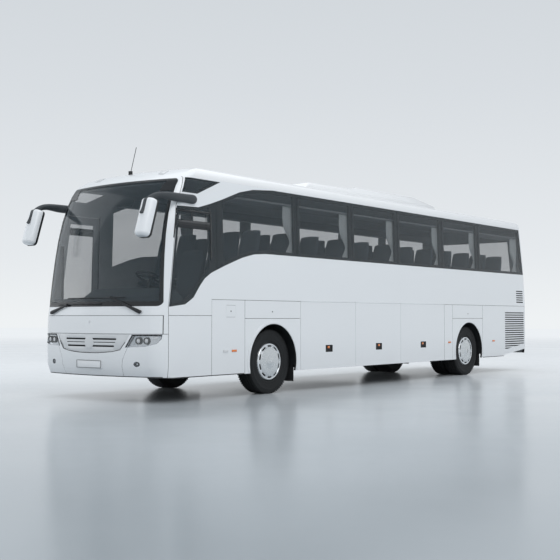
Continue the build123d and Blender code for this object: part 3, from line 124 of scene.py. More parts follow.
def between(rows, z, column):
    """A column's value at a height, on a smooth curve through the rows."""
    if z <= rows[0][0]:
        return rows[0][column]
    for i in range(len(rows) - 1):
        if z <= rows[i + 1][0]:
            break
    else:
        return rows[-1][column]

    def slope(k):
        low, high = max(k - 1, 0), min(k + 1, len(rows) - 1)
        return (rows[high][column] - rows[low][column]) / (rows[high][0] - rows[low][0])

    span = rows[i + 1][0] - rows[i][0]
    t = (z - rows[i][0]) / span
    return ((2 * t**3 - 3 * t**2 + 1) * rows[i][column] + (t**3 - 2 * t**2 + t) * span * slope(i)
            + (3 * t**2 - 2 * t**3) * rows[i + 1][column] + (t**3 - t**2) * span * slope(i + 1))


def straight(rows, z, column):
    """A column's value at a height, on straight lines through the rows."""
    z = min(max(z, rows[0][0]), rows[-1][0])
    for low, high in zip(rows, rows[1:]):
        if z <= high[0]:
            return low[column] + (high[column] - low[column]) * (z - low[0]) / (high[0] - low[0])


def half_width_at(z):
    """Half of the body's width at a height."""
    share = min(1, max(0, (z - BELT_Z) / (CANT_Z - BELT_Z)))
    return HALF_WIDTH - TUMBLEHOME * share


def outside(x, y, z, value=straight):
    """How far a point stands outside the body's form. It is negative inside."""
    x, s, half = abs(x), y + MID, half_width_at(z)
    front, back, corner = (value(LEVELS, z, column) for column in (FRONT, BACK, CORNER))
    turn = asin((half - corner) / (BOW_R - corner))
    corner_s = front + BOW_R * (1 - cos(turn)) + corner * cos(turn)
    if s < corner_s:
        across, ahead = x - half + corner, corner_s - s
        if across > 0 and atan2(across, ahead) > turn:
            plan = hypot(across, ahead) - corner
        else:
            plan = hypot(x, front + BOW_R - s) - BOW_R
    elif s > back - REAR_CORNER_R and x > half - REAR_CORNER_R:
        plan = hypot(x - half + REAR_CORNER_R, s - back + REAR_CORNER_R) - REAR_CORNER_R
    else:
        plan = max(x - half, s - back)
    if z < ROOF_CORNER[1]:
        return plan
    lean = asin(ROOF_CORNER[0] / (CROWN_R - ROOF_CORNER_R))
    across, up = x - ROOF_CORNER[0], z - ROOF_CORNER[1]
    if across > up * tan(lean):
        return max(plan, hypot(across, up) - ROOF_CORNER_R)
    middle = ROOF_CORNER[1] - (CROWN_R - ROOF_CORNER_R) * cos(lean)
    return max(plan, hypot(x, z - middle) - CROWN_R)


def form_normal(place):
    """The direction in which the body's smooth form faces at a place."""
    x, y, z = place
    here, d = outside(x, y, z, between), 0.0005
    return Vector((outside(x + d, y, z, between) - here, outside(x, y + d, z, between) - here,
                   outside(x, y, z + d, between) - here)).normalized()


class Plan:
    """The body's outline in plan at one height, followed outwards from the middle of the front."""

    def __init__(self, z):
        self.z, self.half = z, half_width_at(z)
        self.front, self.corner = straight(LEVELS, z, FRONT), straight(LEVELS, z, CORNER)
        self.start = (self.half - self.corner) / (1 - self.corner / BOW_R)
        self.turn = asin(self.start / BOW_R)
        self.centre_x = self.half - self.corner
        self.centre_s = self.front + BOW_R * (1 - cos(self.turn)) + self.corner * cos(self.turn)
        self.bow = BOW_R * self.turn
        self.side = self.bow + self.corner * (pi / 2 - self.turn)

    def at(self, t, proud=0.0):
        """The point at a distance t along the outline, standing proud of the skin by so much."""
        side, t = copysign(1, t), abs(t)
        if t < self.bow:
            angle = t / BOW_R
            x, s = BOW_R * sin(angle), self.front + BOW_R * (1 - cos(angle))
        elif t < self.side:
            angle = self.turn + (t - self.bow) / self.corner
            x = self.centre_x + self.corner * sin(angle)
            s = self.centre_s - self.corner * cos(angle)
        else:
            angle = pi / 2
            x, s = self.half, self.centre_s + t - self.side
        return Vector((side * (x + proud * sin(angle)), y_at(s - proud * cos(angle)), self.z))

    def t_of_x(self, x):
        """The distance along the outline to a given half width."""
        x = min(abs(x), self.half)
        if x < self.start:
            return BOW_R * asin(x / BOW_R)
        return self.bow + self.corner * (asin(min(1, (x - self.centre_x) / self.corner)) - self.turn)

    def t_of_s(self, s):
        """The distance along the outline to a given station on its side."""
        if s > self.centre_s:
            return self.side + s - self.centre_s
        angle = acos(min(1, max(-1, (self.centre_s - s) / self.corner)))
        return self.bow + self.corner * (angle - self.turn)


def on_skin(side, a, z, proud=0.0):
    """A place on the skin. Side 0 is the front, with a as its x, and on the others a is a station."""
    plan = Plan(z)
    if side == 0:
        return plan.at(copysign(plan.t_of_x(a), a), proud)
    return plan.at(side * plan.t_of_s(a), proud)


# Tools for meshes

def linked(name, data, finishes=()):
    """A new object in the scene for a mesh, lamp or camera, with its finishes."""
    for finish in [finishes] if isinstance(finishes, str) else finishes:
        data.materials.append(FINISH[finish])
    obj = bpy.data.objects.new(name, data)
    bpy.context.scene.collection.objects.link(obj)
    return obj


def soften(mesh, angle=35):
    """Shades a mesh smooth, apart from the edges that turn by more than an angle."""
    mesh.shade_smooth()
    mesh.set_sharp_from_angle(angle=radians(angle))


def piece_from(name, points, faces, finishes, smooth=35, indices=None):
    """A new object from points and faces. Edges that turn by more than an angle are kept crisp."""
    mesh = bpy.data.meshes.new(name)
    mesh.from_pydata([tuple(p) for p in points], [], faces)
    obj = linked(name, mesh, finishes)
    if indices:
        mesh.polygons.foreach_set("material_index", indices)
    mesh.update()
    soften(mesh, smooth)
    return obj


def applied(obj):
    """Bakes an object's modifiers into its mesh."""
    graph = bpy.context.evaluated_depsgraph_get()
    graph.update()
    mesh = bpy.data.meshes.new_from_object(obj.evaluated_get(graph))
    obj.modifiers.clear()
    obj.data = mesh
    return obj


def thicken(obj, depth):
    """Gives a skin a wall behind it."""
    solid = obj.modifiers.new("wall", "SOLIDIFY")
    solid.thickness, solid.offset, solid.use_even_offset = depth, -1, True
    return applied(obj)


def rounded(obj, width):
    """Breaks an object's edges with a small round."""
    bevel = obj.modifiers.new("edge", "BEVEL")
    bevel.width, bevel.segments, bevel.limit_method = width, 2, "ANGLE"
    bevel.angle_limit, bevel.harden_normals = radians(40), False
    applied(obj)
    soften(obj.data, 40)
    return obj


def outwards(obj):
    """Merges doubles and turns every face outwards."""
    work = bmesh.new()
    work.from_mesh(obj.data)
    bmesh.ops.remove_doubles(work, verts=work.verts, dist=1e-5)
    bmesh.ops.recalc_face_normals(work, faces=work.faces)
    work.to_mesh(obj.data)
    work.free()
    return obj


def grid_faces(rows, columns):
    """Faces of a grid of points stored row by row."""
    return [(i * columns + j, i * columns + j + 1, (i + 1) * columns + j + 1, (i + 1) * columns + j)
            for i in range(rows - 1) for j in range(columns - 1)]


def ring_faces(pairs, count):
    """Faces between pairs of rings, each of so many points stored one after another."""
    return [(a * count + k, a * count + (k + 1) % count, b * count + (k + 1) % count, b * count + k)
            for a, b in pairs for k in range(count)]


def turned(name, section, centre, axis, finish, steps, smooth=35):
    """A closed half section of (radius, distance outwards) turned about an axis."""
    turn = Vector(axis).to_track_quat("Z", "Y")
    points = [Vector(centre) + turn @ Vector((radius * cos(angle), radius * sin(angle), out))
              for angle in (2 * pi * k / steps for k in range(steps)) for radius, out in section]
    faces = ring_faces([(k, (k + 1) % steps) for k in range(steps)], len(section))
    obj = outwards(piece_from(name, points, faces, finish))
    soften(obj.data, smooth)
    return obj


def block(name, low, high, finish, width):
    """A rounded block between two corners."""
    points = [(x, y, z) for x in (low[0], high[0]) for y in (low[1], high[1]) for z in (low[2], high[2])]
    faces = [(0, 1, 3, 2), (4, 6, 7, 5), (0, 4, 5, 1), (2, 3, 7, 6), (0, 2, 6, 4), (1, 5, 7, 3)]
    return rounded(outwards(piece_from(name, points, faces, finish)), width)


def strip(name, side, path, width, finish, proud=EDGE, depth=0.002):
    """A flat band that follows a path over the skin, given as (x or station, z) along its middle."""
    line = []
    for (a, za), (b, zb) in zip(path, path[1:]):
        parts = max(1, round(hypot(b - a, zb - za) / STRIP_STEP))
        line += [Vector((a + (b - a) * k / parts, za + (zb - za) * k / parts)) for k in range(parts)]
    line.append(Vector(path[-1]))
    points = []
    for before, here, after in zip(line[:1] + line, line, line[1:] + line[-1:]):
        runs = [run.normalized() for run in (here - before, after - here) if run.length > 1e-9]
        along = sum(runs, Vector((0, 0))).normalized()
        reach = width / 2 / max(0.6, along.dot(runs[0]))
        across = Vector((-along.y, along.x)) * reach
        points += [on_skin(side, *(here + across), proud), on_skin(side, *(here - across), proud)]
    faces = [(2 * k, 2 * k + 1, 2 * k + 3, 2 * k + 2) for k in range(len(line) - 1)]
    obj = piece_from(name, points, faces, finish, 60)
    if obj.data.polygons[0].normal.dot(form_normal(obj.data.polygons[0].center)) < 0:
        obj.data.flip_normals()
    return thicken(obj, depth)


def stud(name, side, a, z, section, finish, steps=24, lean=1.0):
    """A small turned piece on the skin. It faces as the skin does, or with less lean more to the front."""
    place = on_skin(side, a, z)
    return turned(name, section, place, form_normal(place) * lean + Vector((0, -1 + lean, 0)), finish, steps)


def repeat_tree():
    """Geometry Nodes that repeat what they are given, in a row or round an axle that runs across."""
    tree = bpy.data.node_groups.new("repeat", "GeometryNodeTree")
    for name, kind in (("Geometry", "Geometry"), ("Count", "Int"), ("Start", "Vector"), ("Step", "Vector"),
                       ("Turn", "Float"), ("Finish", "Material")):
        tree.interface.new_socket(name, in_out="INPUT", socket_type="NodeSocket" + kind)
    tree.interface.new_socket("Geometry", in_out="OUTPUT", socket_type="NodeSocketGeometry")
    given = tree.nodes.new("NodeGroupInput").outputs

    def node(kind, links, **settings):
        made = tree.nodes.new(kind)
        for key, value in settings.items():
            setattr(made, key, value)
        for key, source in links.items():
            tree.links.new(source, made.inputs[key])
        return made.outputs[0]

    index = node("GeometryNodeInputIndex", {})
    shift = node("ShaderNodeVectorMath", {0: given["Step"], "Scale": index}, operation="SCALE")
    place = node("ShaderNodeVectorMath", {0: given["Start"], 1: shift})
    angle = node("ShaderNodeMath", {0: given["Turn"], 1: index}, operation="MULTIPLY")
    spots = node("GeometryNodePoints", {"Count": given["Count"], "Position": place})
    turns = node("ShaderNodeCombineXYZ", {"X": angle})
    copies = node("GeometryNodeInstanceOnPoints",
                  {"Points": spots, "Instance": given["Geometry"], "Rotation": turns})
    whole = node("GeometryNodeRealizeInstances", {"Geometry": copies})
    done = node("GeometryNodeSetMaterial", {"Geometry": whole, "Material": given["Finish"]})
    tree.links.new(done, tree.nodes.new("NodeGroupOutput").inputs[0])
    return tree


def repeated(obj, finish, count, start=(0, 0, 0), step=(0, 0, 0), turn=0.0):
    """Copies of a piece in a row or round an axle, as one plain mesh."""
    tree = bpy.data.node_groups.get("repeat") or repeat_tree()
    modifier = obj.modifiers.new("repeat", "NODES")
    modifier.node_group = tree
    values = {"Count": count, "Start": start, "Step": step, "Turn": turn, "Finish": FINISH[finish]}
    for item in tree.interface.items_tree:
        if item.in_out == "INPUT" and item.name in values:
            modifier[item.identifier] = values[item.name]
    return applied(obj)


def joined(name, objects):
    """Joins objects into one piece."""
    finishes, work = [], bmesh.new()
    for obj in objects:
        finishes += [finish for finish in obj.data.materials if finish not in finishes]
        places = [finishes.index(finish) for finish in obj.data.materials]
        start = len(work.faces)
        work.from_mesh(obj.data)
        work.faces.ensure_lookup_table()
        for face in work.faces[start:]:
            face.material_index = places[face.material_index]
    mesh = bpy.data.meshes.new(name)
    work.to_mesh(mesh)
    work.free()
    for obj in objects:
        bpy.data.objects.remove(obj)
    for finish in finishes:
        mesh.materials.append(finish)
    return linked(name, mesh)


def seat_on(obj, body, slot, *nodes):
    """Names the body that a piece rides on and hides the model's nodes that it stands for. Its slot is not
    used.
    """
    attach(obj, body)
    if nodes:
        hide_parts(*nodes)
    return obj


def follow_form(mesh):
    """Gives what lies on the skin the body's own normals, so that reflections run across seams."""
    near, alike = 0.004, 0.94
    skin = {vertex.index: form_normal(vertex.co) for vertex in mesh.vertices
            if abs(outside(*vertex.co)) < near}
    normals = [corner.vector.copy() for corner in mesh.corner_normals]
    for face in mesh.polygons:
        for corner in face.loop_indices:
            wanted = skin.get(mesh.loops[corner].vertex_index)
            if wanted and wanted.dot(face.normal) > alike:
                normals[corner] = wanted
    mesh.normals_split_custom_set(normals)


def dressed(node, finishes, slot, width=0.0, smooth=35, choose=None, form=False, cuts=()):
    """A finished copy of a node: merged, smooth, its edges broken and a finish chosen for each face.

    form gives it the body's normals. cuts are planes, (place, direction), where its faces are divided.
    """
    source = frame["nodes"][node]
    mesh = source.data.copy()
    mesh.materials.clear()
    obj = linked(node + "_finish", mesh, finishes)
    work = bmesh.new()
    work.from_mesh(mesh)
    bmesh.ops.remove_doubles(work, verts=work.verts, dist=2e-5)
    for face in work.faces:
        face.material_index = 0
    bmesh.ops.dissolve_limit(work, angle_limit=radians(0.4), verts=work.verts, edges=work.edges)
    for place, way in cuts:
        bmesh.ops.bisect_plane(work, geom=[*work.verts, *work.edges, *work.faces],
                               plane_co=place, plane_no=way)
    work.to_mesh(mesh)
    work.free()
    if mesh.has_custom_normals:
        mesh.normals_split_custom_set([(0, 0, 0)] * len(mesh.loops))
    soften(mesh, smooth)
    if width:
        rounded(obj, width)
    if choose:
        for face in obj.data.polygons:
            face.material_index = choose(face.center, face.normal)
    if form:
        follow_form(obj.data)
    return seat_on(obj, source["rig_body"], slot, node)


def by_depth(edge=0.0035, back=0.046, lip=0.0):
    """Picks paint on the skin, black in seams and rebates, lining behind, and painted shade on a low edge."""
    def choose(place, _):
        depth = -outside(*place)
        # Faces below the lip are black: painted shade where the body turns under.
        return 1 if place.z < lip else 0 if depth < edge else 1 if depth < back else 2
    return choose


# Materials

class Shade:
    """A socket in a material's tree. Sums and products of it add Math nodes."""

    def __init__(self, tree, socket=None):
        self.tree, self.socket = tree, socket

    def node(self, kind, settings, values, out=0):
        """Adds a node, with its settings first and then its sockets' values or links."""
        made = self.tree.nodes.new("ShaderNode" + kind)
        for key, value in settings.items():
            if key == "stops":
                ramp = made.color_ramp
                while len(ramp.elements) < len(value):
                    ramp.elements.new(0.5)
                for element, (place, colour) in zip(ramp.elements, value):
                    element.position, element.color = place, (*colour, 1)
            else:
                setattr(made, key, value)
        for key, value in values.items():
            if isinstance(value, Shade):
                self.tree.links.new(value.socket, made.inputs[key])
            else:
                made.inputs[key].default_value = value
        return Shade(self.tree, made.outputs[out])

    def sum(self, operation, other, swap=False):
        """A Math node on this and another, or on the other and this."""
        values = {0: other, 1: self} if swap else {0: self, 1: other}
        return self.node("Math", {"operation": operation}, values)

    def __add__(self, other): return self.sum("ADD", other)
    def __radd__(self, other): return self.sum("ADD", other, True)
    def __sub__(self, other): return self.sum("SUBTRACT", other)
    def __rsub__(self, other): return self.sum("SUBTRACT", other, True)
    def __mul__(self, other): return self.sum("MULTIPLY", other)
    def __rmul__(self, other): return self.sum("MULTIPLY", other, True)
    def __truediv__(self, other): return self.sum("DIVIDE", other)
    def __rtruediv__(self, other): return self.sum("DIVIDE", other, True)

    def most(self, other): return self.sum("MAXIMUM", other)

    def step(self, low, high):
        """0 below low, 1 above high, and a smooth rise between."""
        return self.node("MapRange", {"interpolation_type": "SMOOTHSTEP"}, {0: self, 1: low, 2: high})

    def mix(self, first, second):
        """A colour that goes from the first to the second as this goes from 0 to 1."""
        return self.node("Mix", {"data_type": "RGBA"}, {0: self, 6: first, 7: second}, 2)

    def outputs(self):
        """Every output of this socket's node."""
        return [Shade(self.tree, output) for output in self.socket.node.outputs]

    def axes(self):
        """The three parts of a vector."""
        return self.node("SeparateXYZ", {}, {0: self}).outputs()

    def noise(self, scale, detail=3.0):
        """Soft noise at a scale."""
        return self.node("TexNoise", {}, {"Vector": self, "Scale": scale, "Detail": detail})

    def bump(self, height, strength, distance):
        """Normals for a height field. This socket isn't used, only its tree."""
        return self.node("Bump", {}, {"Strength": strength, "Distance": distance, "Height": height})


def rgb(colour, gain=1.0):
    """A linear colour, made lighter or darker by a gain, with full alpha."""
    return (*(gain * part for part in colour), 1.0)


def material(name, finish, **fixed):
    """A material. finish(place) returns what varies over the surface, by socket name."""
    made = bpy.data.materials.new(name)
    made.use_nodes = True
    tree = made.node_tree
    shader = tree.nodes["Principled BSDF"]
    for key, value in fixed.items():
        shader.inputs[key.replace("_", " ")].default_value = value
    for key, value in finish(Shade(tree).node("TexCoord", {}, {}, "Object")).items():
        tree.links.new(value.socket, shader.inputs[key])
    return made


def painted(name, colour, low_grey=0.16):
    """Lacquered paint with the faintest ripple, a little greyer towards the ground."""
    def finish(place):
        cloud = place.noise(1.3)
        # The paint turns greyer towards the ground, by the amount given.
        low = (1 - place.axes()[2].step(0.30, 0.95)) * low_grey
        grey = cloud * 0.03 + low * (0.5 + cloud * 0.3)
        return {"Base Color": grey.mix(rgb(colour), rgb(colour, 0.52)), "Roughness": 0.24 + cloud * 0.04,
                "Normal": place.bump(place.noise(240, 1), 0.08, 0.0003)}
    return material(name, finish, Coat_Weight=0.7, Coat_Roughness=0.06, Specular_IOR_Level=0.5)


def moulded(name, colour, grain, rough):
    """Moulded plastic or rubber with a fine grain."""
    def finish(place):
        speck, cloud = place.noise(grain, 2), place.noise(6)
        base = (cloud * 0.5 + speck * 0.3).mix(rgb(colour, 0.75), rgb(colour, 1.3))
        return {"Base Color": base, "Roughness": rough + speck * 0.18 - cloud * 0.06,
                "Normal": place.bump(speck, 0.35, 0.0006)}
    return material(name, finish)


def tinted(name, colour, cover):
    """Tinted glass: mostly clear, with faint cloudiness where it was wiped."""
    def finish(place):
        cloud = place.noise(2.2)
        return {"Roughness": 0.012 + cloud * 0.03, "Alpha": cover + cloud * 0.06}
    return material(name, finish, Base_Color=rgb(colour), IOR=1.52, Coat_Weight=1.0, Coat_Roughness=0.02)


def metal(name, colour, rough, streak):
    """Polished or cast metal with light and dull patches."""
    def finish(place):
        cloud = place.noise(34)
        return {"Base Color": cloud.mix(rgb(colour, 0.86), rgb(colour)), "Roughness": rough + cloud * streak,
                "Normal": place.bump(place.noise(420, 2), 0.08, 0.0004)}
    return material(name, finish, Metallic=1.0)


def woven(name, colour, second):
    """Seat cloth: a coarse weave with a soft nap."""
    def finish(place):
        weave = place.node("TexWave", {"wave_type": "BANDS", "bands_direction": "DIAGONAL"},
                           {"Vector": place, "Scale": 140.0, "Distortion": 2.0})
        base = (weave * 0.45 + place.noise(9) * 0.4).mix(rgb(colour), rgb(second))
        return {"Base Color": base, "Normal": place.bump(weave, 0.4, 0.001)}
    return material(name, finish, Roughness=0.92, Sheen_Weight=0.25)


def lit(name, colour):
    """A lamp's coloured lens, ribbed inside."""
    def finish(place):
        _, y, z = place.axes()
        ribs = place.node("Math", {"operation": "SINE"}, {0: (y + z) * 420.0})
        return {"Base Color": place.noise(30).mix(rgb(colour, 0.8), rgb(colour)),
                "Normal": place.bump(ribs, 0.25, 0.001)}
    return material(name, finish, Roughness=0.06, Coat_Weight=1.0, Coat_Roughness=0.03)


class CoachSettings(bpy.types.PropertyGroup):
    """Sizes and colours that a user would change."""
    paint: bpy.props.FloatVectorProperty(
        name="Paint", description="Colour of the body", subtype="COLOR", default=(0.765, 0.793, 0.818))
    roof_paint: bpy.props.FloatVectorProperty(
        name="Roof paint", description="Colour of the roof", subtype="COLOR", default=(0.80, 0.815, 0.83))
    tint: bpy.props.FloatVectorProperty(
        name="Glass tint", description="Colour of the side glass", subtype="COLOR",
        default=(0.016, 0.036, 0.048))
    cover: bpy.props.FloatProperty(
        name="Glass cover", description="How much the side glass hides", subtype="FACTOR", default=0.20)
    seat_cloth: bpy.props.FloatVectorProperty(
        name="Seat cloth", description="Colour of the seats", subtype="COLOR",
        default=(0.026, 0.038, 0.048))
    lens: bpy.props.FloatProperty(
        name="Lens", description="Focal length of the camera, in millimetres", default=64.22, min=20, max=200)
    light: bpy.props.FloatProperty(
        name="Light", description="Strength of the studio's lamps", default=1.0, min=0.1, max=4)


def make_materials(settings):
    """Every finish of the coach, by name."""
    paint = tuple(settings.paint)
    FINISH.update(
        paint=painted("body_paint", paint),
        roof=painted("roof_paint", tuple(settings.roof_paint), 0.0),
        glass=tinted("side_glass", tuple(settings.tint), settings.cover),
        screen=tinted("screen_glass", (0.018, 0.038, 0.050), 0.22),
        frit=moulded("frit", (0.010, 0.012, 0.014), 300.0, 0.12),
        seam=moulded("seam_rubber", (0.008, 0.009, 0.010), 700.0, 0.6),
        rubber=moulded("seal_rubber", (0.012, 0.013, 0.014), 700.0, 0.55),
        tyre=moulded("tyre_rubber", (0.0030, 0.0042, 0.0052), 420.0, 0.62),
        plastic=moulded("black_plastic", (0.012, 0.014, 0.016), 900.0, 0.42),
        arm=moulded("mirror_arm", (0.035, 0.042, 0.048), 900.0, 0.36),
        trim=moulded("cab_trim", (0.040, 0.052, 0.060), 700.0, 0.6),
        lining=moulded("lining", (0.36, 0.385, 0.40), 500.0, 0.75),
        rack=moulded("rack_trim", (0.17, 0.185, 0.195), 500.0, 0.6),
        floor=moulded("floor_sheet", (0.05, 0.054, 0.058), 240.0, 0.6),
        steel=moulded("frame_paint", (0.016, 0.017, 0.018), 120.0, 0.55),
        chrome=metal("chrome", (0.80, 0.82, 0.84), 0.05, 0.06),
        cap=metal("wheel_cap", (0.66, 0.685, 0.70), 0.22, 0.08),
        bowl=metal("lamp_bowl", (0.62, 0.65, 0.68), 0.16, 0.06),
        mirror=metal("mirror_glass", (0.86, 0.88, 0.89), 0.015, 0.01),
        iron=metal("engine_iron", (0.20, 0.20, 0.205), 0.5, 0.2),
        cloth=woven("seat_cloth", tuple(settings.seat_cloth), (0.065, 0.085, 0.100)),
        curtain=woven("curtain_cloth", (0.42, 0.45, 0.46), (0.54, 0.57, 0.58)),
        amber=lit("amber_lens", (0.80, 0.20, 0.02)),
        red=lit("red_lens", (0.45, 0.012, 0.012)),
        clear=lit("clear_lens", (0.72, 0.74, 0.76)),
        grille=painted("grille_paint", tuple(0.80 * part for part in paint), 0.0),
        lamp_glass=tinted("lamp_glass", (0.55, 0.58, 0.60), 0.12))


class CoachOperator:
    """What every operator here has in common."""
    bl_options = {"REGISTER", "UNDO"}


def backdrop(scene):
    """A pale sky for the eye, for reflections and through glass, and plain light for the rest."""
    scene.world = bpy.data.worlds.new("studio")
    scene.world.use_nodes = True
    tree = scene.world.node_tree
    rays = {ray.socket.name: ray for ray in Shade(tree).node("LightPath", {}, {}).outputs()}
    seen = rays["Is Camera Ray"].most(rays["Is Glossy Ray"]).most(rays["Is Transmission Ray"])
    up = Shade(tree).node("TexCoord", {}, {}, "Generated").axes()[2]
    sky = up.node("ValToRGB", {"stops": [
        (0.0, (0.955, 0.985, 1.0)), (0.06, (0.88, 0.915, 0.945)), (0.22, (0.765, 0.805, 0.845)),
        (0.42, (0.67, 0.715, 0.755)), (1.0, (0.56, 0.60, 0.65))]}, {0: up.most(0.0)})
    background = tree.nodes["Background"]
    tree.links.new(seen.mix(rgb((0.94, 0.97, 1.0)), sky).socket, background.inputs["Color"])
    background.inputs["Strength"].default_value = 0.90


def floor_finish():
    """Polished pale floor, with painted shade that darkens it towards the camera, that fades into the
    backdrop.
    """
    made = bpy.data.materials.new("studio_floor")
    made.use_nodes = True
    tree = made.node_tree
    shader = tree.nodes["Principled BSDF"]
    place = Shade(tree).node("TexCoord", {}, {}, "Object")
    x, y, _ = place.axes()
    cloud = place.noise(0.35, 4)
    far = ((x * x + y * y) / 900.0).step(0.25, 3.0)
    # Painted shade: the floor's colour is darker towards the camera and lighter away from it.
    painted_floor_shade = (y * 0.788 - x * 0.616 + cloud * 2.0).step(-12.5, 9.0)
    base = painted_floor_shade.mix(rgb((0.325, 0.365, 0.395)), rgb((0.78, 0.815, 0.845)))
    tree.links.new(base.socket, shader.inputs["Base Color"])
    tree.links.new((0.10 + cloud * 0.22).socket, shader.inputs["Roughness"])
    glow = place.node("Emission", {}, {"Color": rgb((0.84, 0.875, 0.905)), "Strength": 1.0})
    blend = place.node("MixShader", {}, {0: far, 1: Shade(tree, shader.outputs[0]), 2: glow})
    tree.links.new(blend.socket, tree.nodes["Material Output"].inputs["Surface"])
    return made


class STAGE_OT_studio(CoachOperator, bpy.types.Operator):
    """Camera, lamps, pale floor and backdrop"""
    bl_idname = "coach.studio"
    bl_label = "Studio"

    def execute(self, context):
        settings, scene = context.scene.coach, context.scene
        data = bpy.data.cameras.new("camera")
        data.lens, data.sensor_width = settings.lens, 36
        data.clip_start, data.clip_end = 0.1, 400
        scene.camera = linked("camera", data)
        scene.camera.location = (11.183, y_at(-9.779), 1.207)
        scene.camera.rotation_euler = (radians(92.18), 0, radians(38.0))
        scene.view_settings.view_transform = "Standard"
        backdrop(scene)
        FINISH["studio_floor"] = floor_finish()
        size = 90.0
        floor = piece_from("floor", [(-size, -size, 0), (size, -size, 0), (size, size, 0), (-size, size, 0)],
                           [(0, 1, 2, 3)], "studio_floor")
        cool, warm = (0.94, 0.97, 1.0), (1.0, 0.99, 0.98)
        for name, place, turn, width, power, colour in (
                ("key", (9, -9, 11), (45, 0, 45), 9, 490, warm), ("top", (0, 0, 12), (0, 0, 0), 14, 310, cool),
                ("fill", (-10, -8, 6), (58, 0, -50), 8, 120, cool)):
            lamp = bpy.data.lights.new(name, "AREA")
            lamp.energy, lamp.size, lamp.color = power * settings.light, width, colour
            obj = linked(name, lamp)
            obj.location, obj.rotation_euler = place, [radians(a) for a in turn]
        return {"FINISHED"}


def panel(node, back=0.046, lip=0.0, lining="lining", choose=None):
    """A painted panel of the body, black in its seams and lined behind."""
    dressed(node, ["paint", "seam", lining], "body_white", EDGE,
            choose=choose or by_depth(back=back, lip=lip), form=True)


def trim():
    """Raised lips of the wheel arches, locks, and black lower edges of sills and bumper as painted shade."""
    lip_r, lip_end = 0.626, 0.372
    low = asin((lip_end - TYRE_R) / lip_r)
    for side, word in SIDES:
        for axle, name in ((FRONT_AXLE, "front"), (REAR_AXLE, "rear")):
            angles = [low + (pi - 2 * low) * k / 48 for k in range(49)]
            path = [(axle + lip_r * cos(angle), TYRE_R + lip_r * sin(angle)) for angle in angles]
            lip = strip(f"{name}_arch_lip_{word}", side, path, 0.048, "paint", 0.007, 0.009)
            seat_on(rounded(lip, 0.003), "root", "body_white")
    dot = [(0.0, 0.0035), (0.009, 0.0035), (0.011, 0.001), (0.011, -0.004), (0.0, -0.004)]
    knob = [(0.0, 0.003), (0.017, 0.003), (0.019, 0.001), (0.019, -0.004), (0.0, -0.004)]
    locks = [stud("lock", side, station, z, dot, "plastic")
             for station, z, sides in ((2.708, 1.308, (LEFT, RIGHT)), (9.376, 1.298, (LEFT, RIGHT)),
                                       (1.697, 1.311, (LEFT,))) for side in sides]
    locks.append(stud("nose_lock", 0, 0.0, 1.152, knob, "cap"))
    # Painted shade: black strips along the lower edges of the sills and the bumper.
    locks += [strip("sill_edge", side, [(a, 0.3575), (b, 0.3575)], 0.012, "seam")
              for side in (LEFT, RIGHT) for a, b in ((0.380, 2.010), (10.070, 11.100))]
    locks.append(strip("bumper_edge", 0, [(-1.215, 0.372), (1.215, 0.372)], 0.011, "seam"))
    seat_on(joined("panel_locks", locks), "root", "black_plastic")


def plate_rims():
    """Thin rims round the two blank plates."""
    rim = [(-0.258, 0.486), (0.258, 0.486), (0.258, 0.592), (-0.258, 0.592)]
    half, plates = 0.003, ((0.0005, 0.006, 0.0), (LENGTH - 0.002, LENGTH + 0.0035, 0.021))
    edges = []
    for (ax, az), (bx, bz) in zip(rim, rim[1:] + rim[:1]):
        for near, far, lift in plates:
            low = (min(ax, bx) - half, y_at(near), min(az, bz) + lift - half)
            high = (max(ax, bx) + half, y_at(far), max(az, bz) + lift + half)
            edges.append(block("plate_rim_edge", low, high, "plastic", 0.001))
    seat_on(joined("plate_rim", edges), "root", "black_plastic")


def reflectors():
    """Amber reflectors in the pulls, which go with the flaps."""
    back, out, half, low, high = HALF_WIDTH - 0.0135, HALF_WIDTH - 0.0065, 0.030, 0.690, 0.728
    for side, word in SIDES:
        for number, station in ((1, 4.274), (2, 5.880), (3, 7.482)):
            lens = block(f"pull_reflector_{word}_{number}", (side * back, y_at(station - half), low),
                         (side * out, y_at(station + half), high), "amber", 0.002)
            seat_on(lens, f"flap_{word}_{number}", "lamp_amber")


class COACH_OT_panels(CoachOperator, bpy.types.Operator):
    """Walls, roof, skirts, flaps and bumpers"""
    bl_idname = "coach.panels"
    bl_label = "Body panels"

    def execute(self, context):
        flap_back, skirt_back = 0.0325, 0.039
        for _, word in SIDES:
            panel(f"side_wall_{word}")
            for number in (1, 2, 3):
                panel(f"luggage_flap_{word}_{number}", flap_back, 0.364, "steel")
        panel("skirt_panels", skirt_back, 0.362, "steel")
        panel("arch_panels", skirt_back, lining="steel")
        panel("engine_lid", flap_back, lining="steel")
        dressed("roof", ["roof", "seam", "lining"], "body_white", 0.0, 50, by_depth(back=0.040), True)
        dressed("air_conditioner", "roof", "body_white", 0.03, 50)
        for node in ("nose_panel", "windscreen_frame", "rear_wall", "rear_bumper"):
            panel(node)
        panel("front_door", flap_back)

        def bumper(place, normal):
            plate = abs(place.x) < 0.262 and 0.482 < place.z < 0.596 and normal.y < -0.9
            return 0 if plate else by_depth()(place, normal)
        panel("front_bumper", choose=bumper)
        trim()
        plate_rims()
        reflectors()
        return {"FINISHED"}


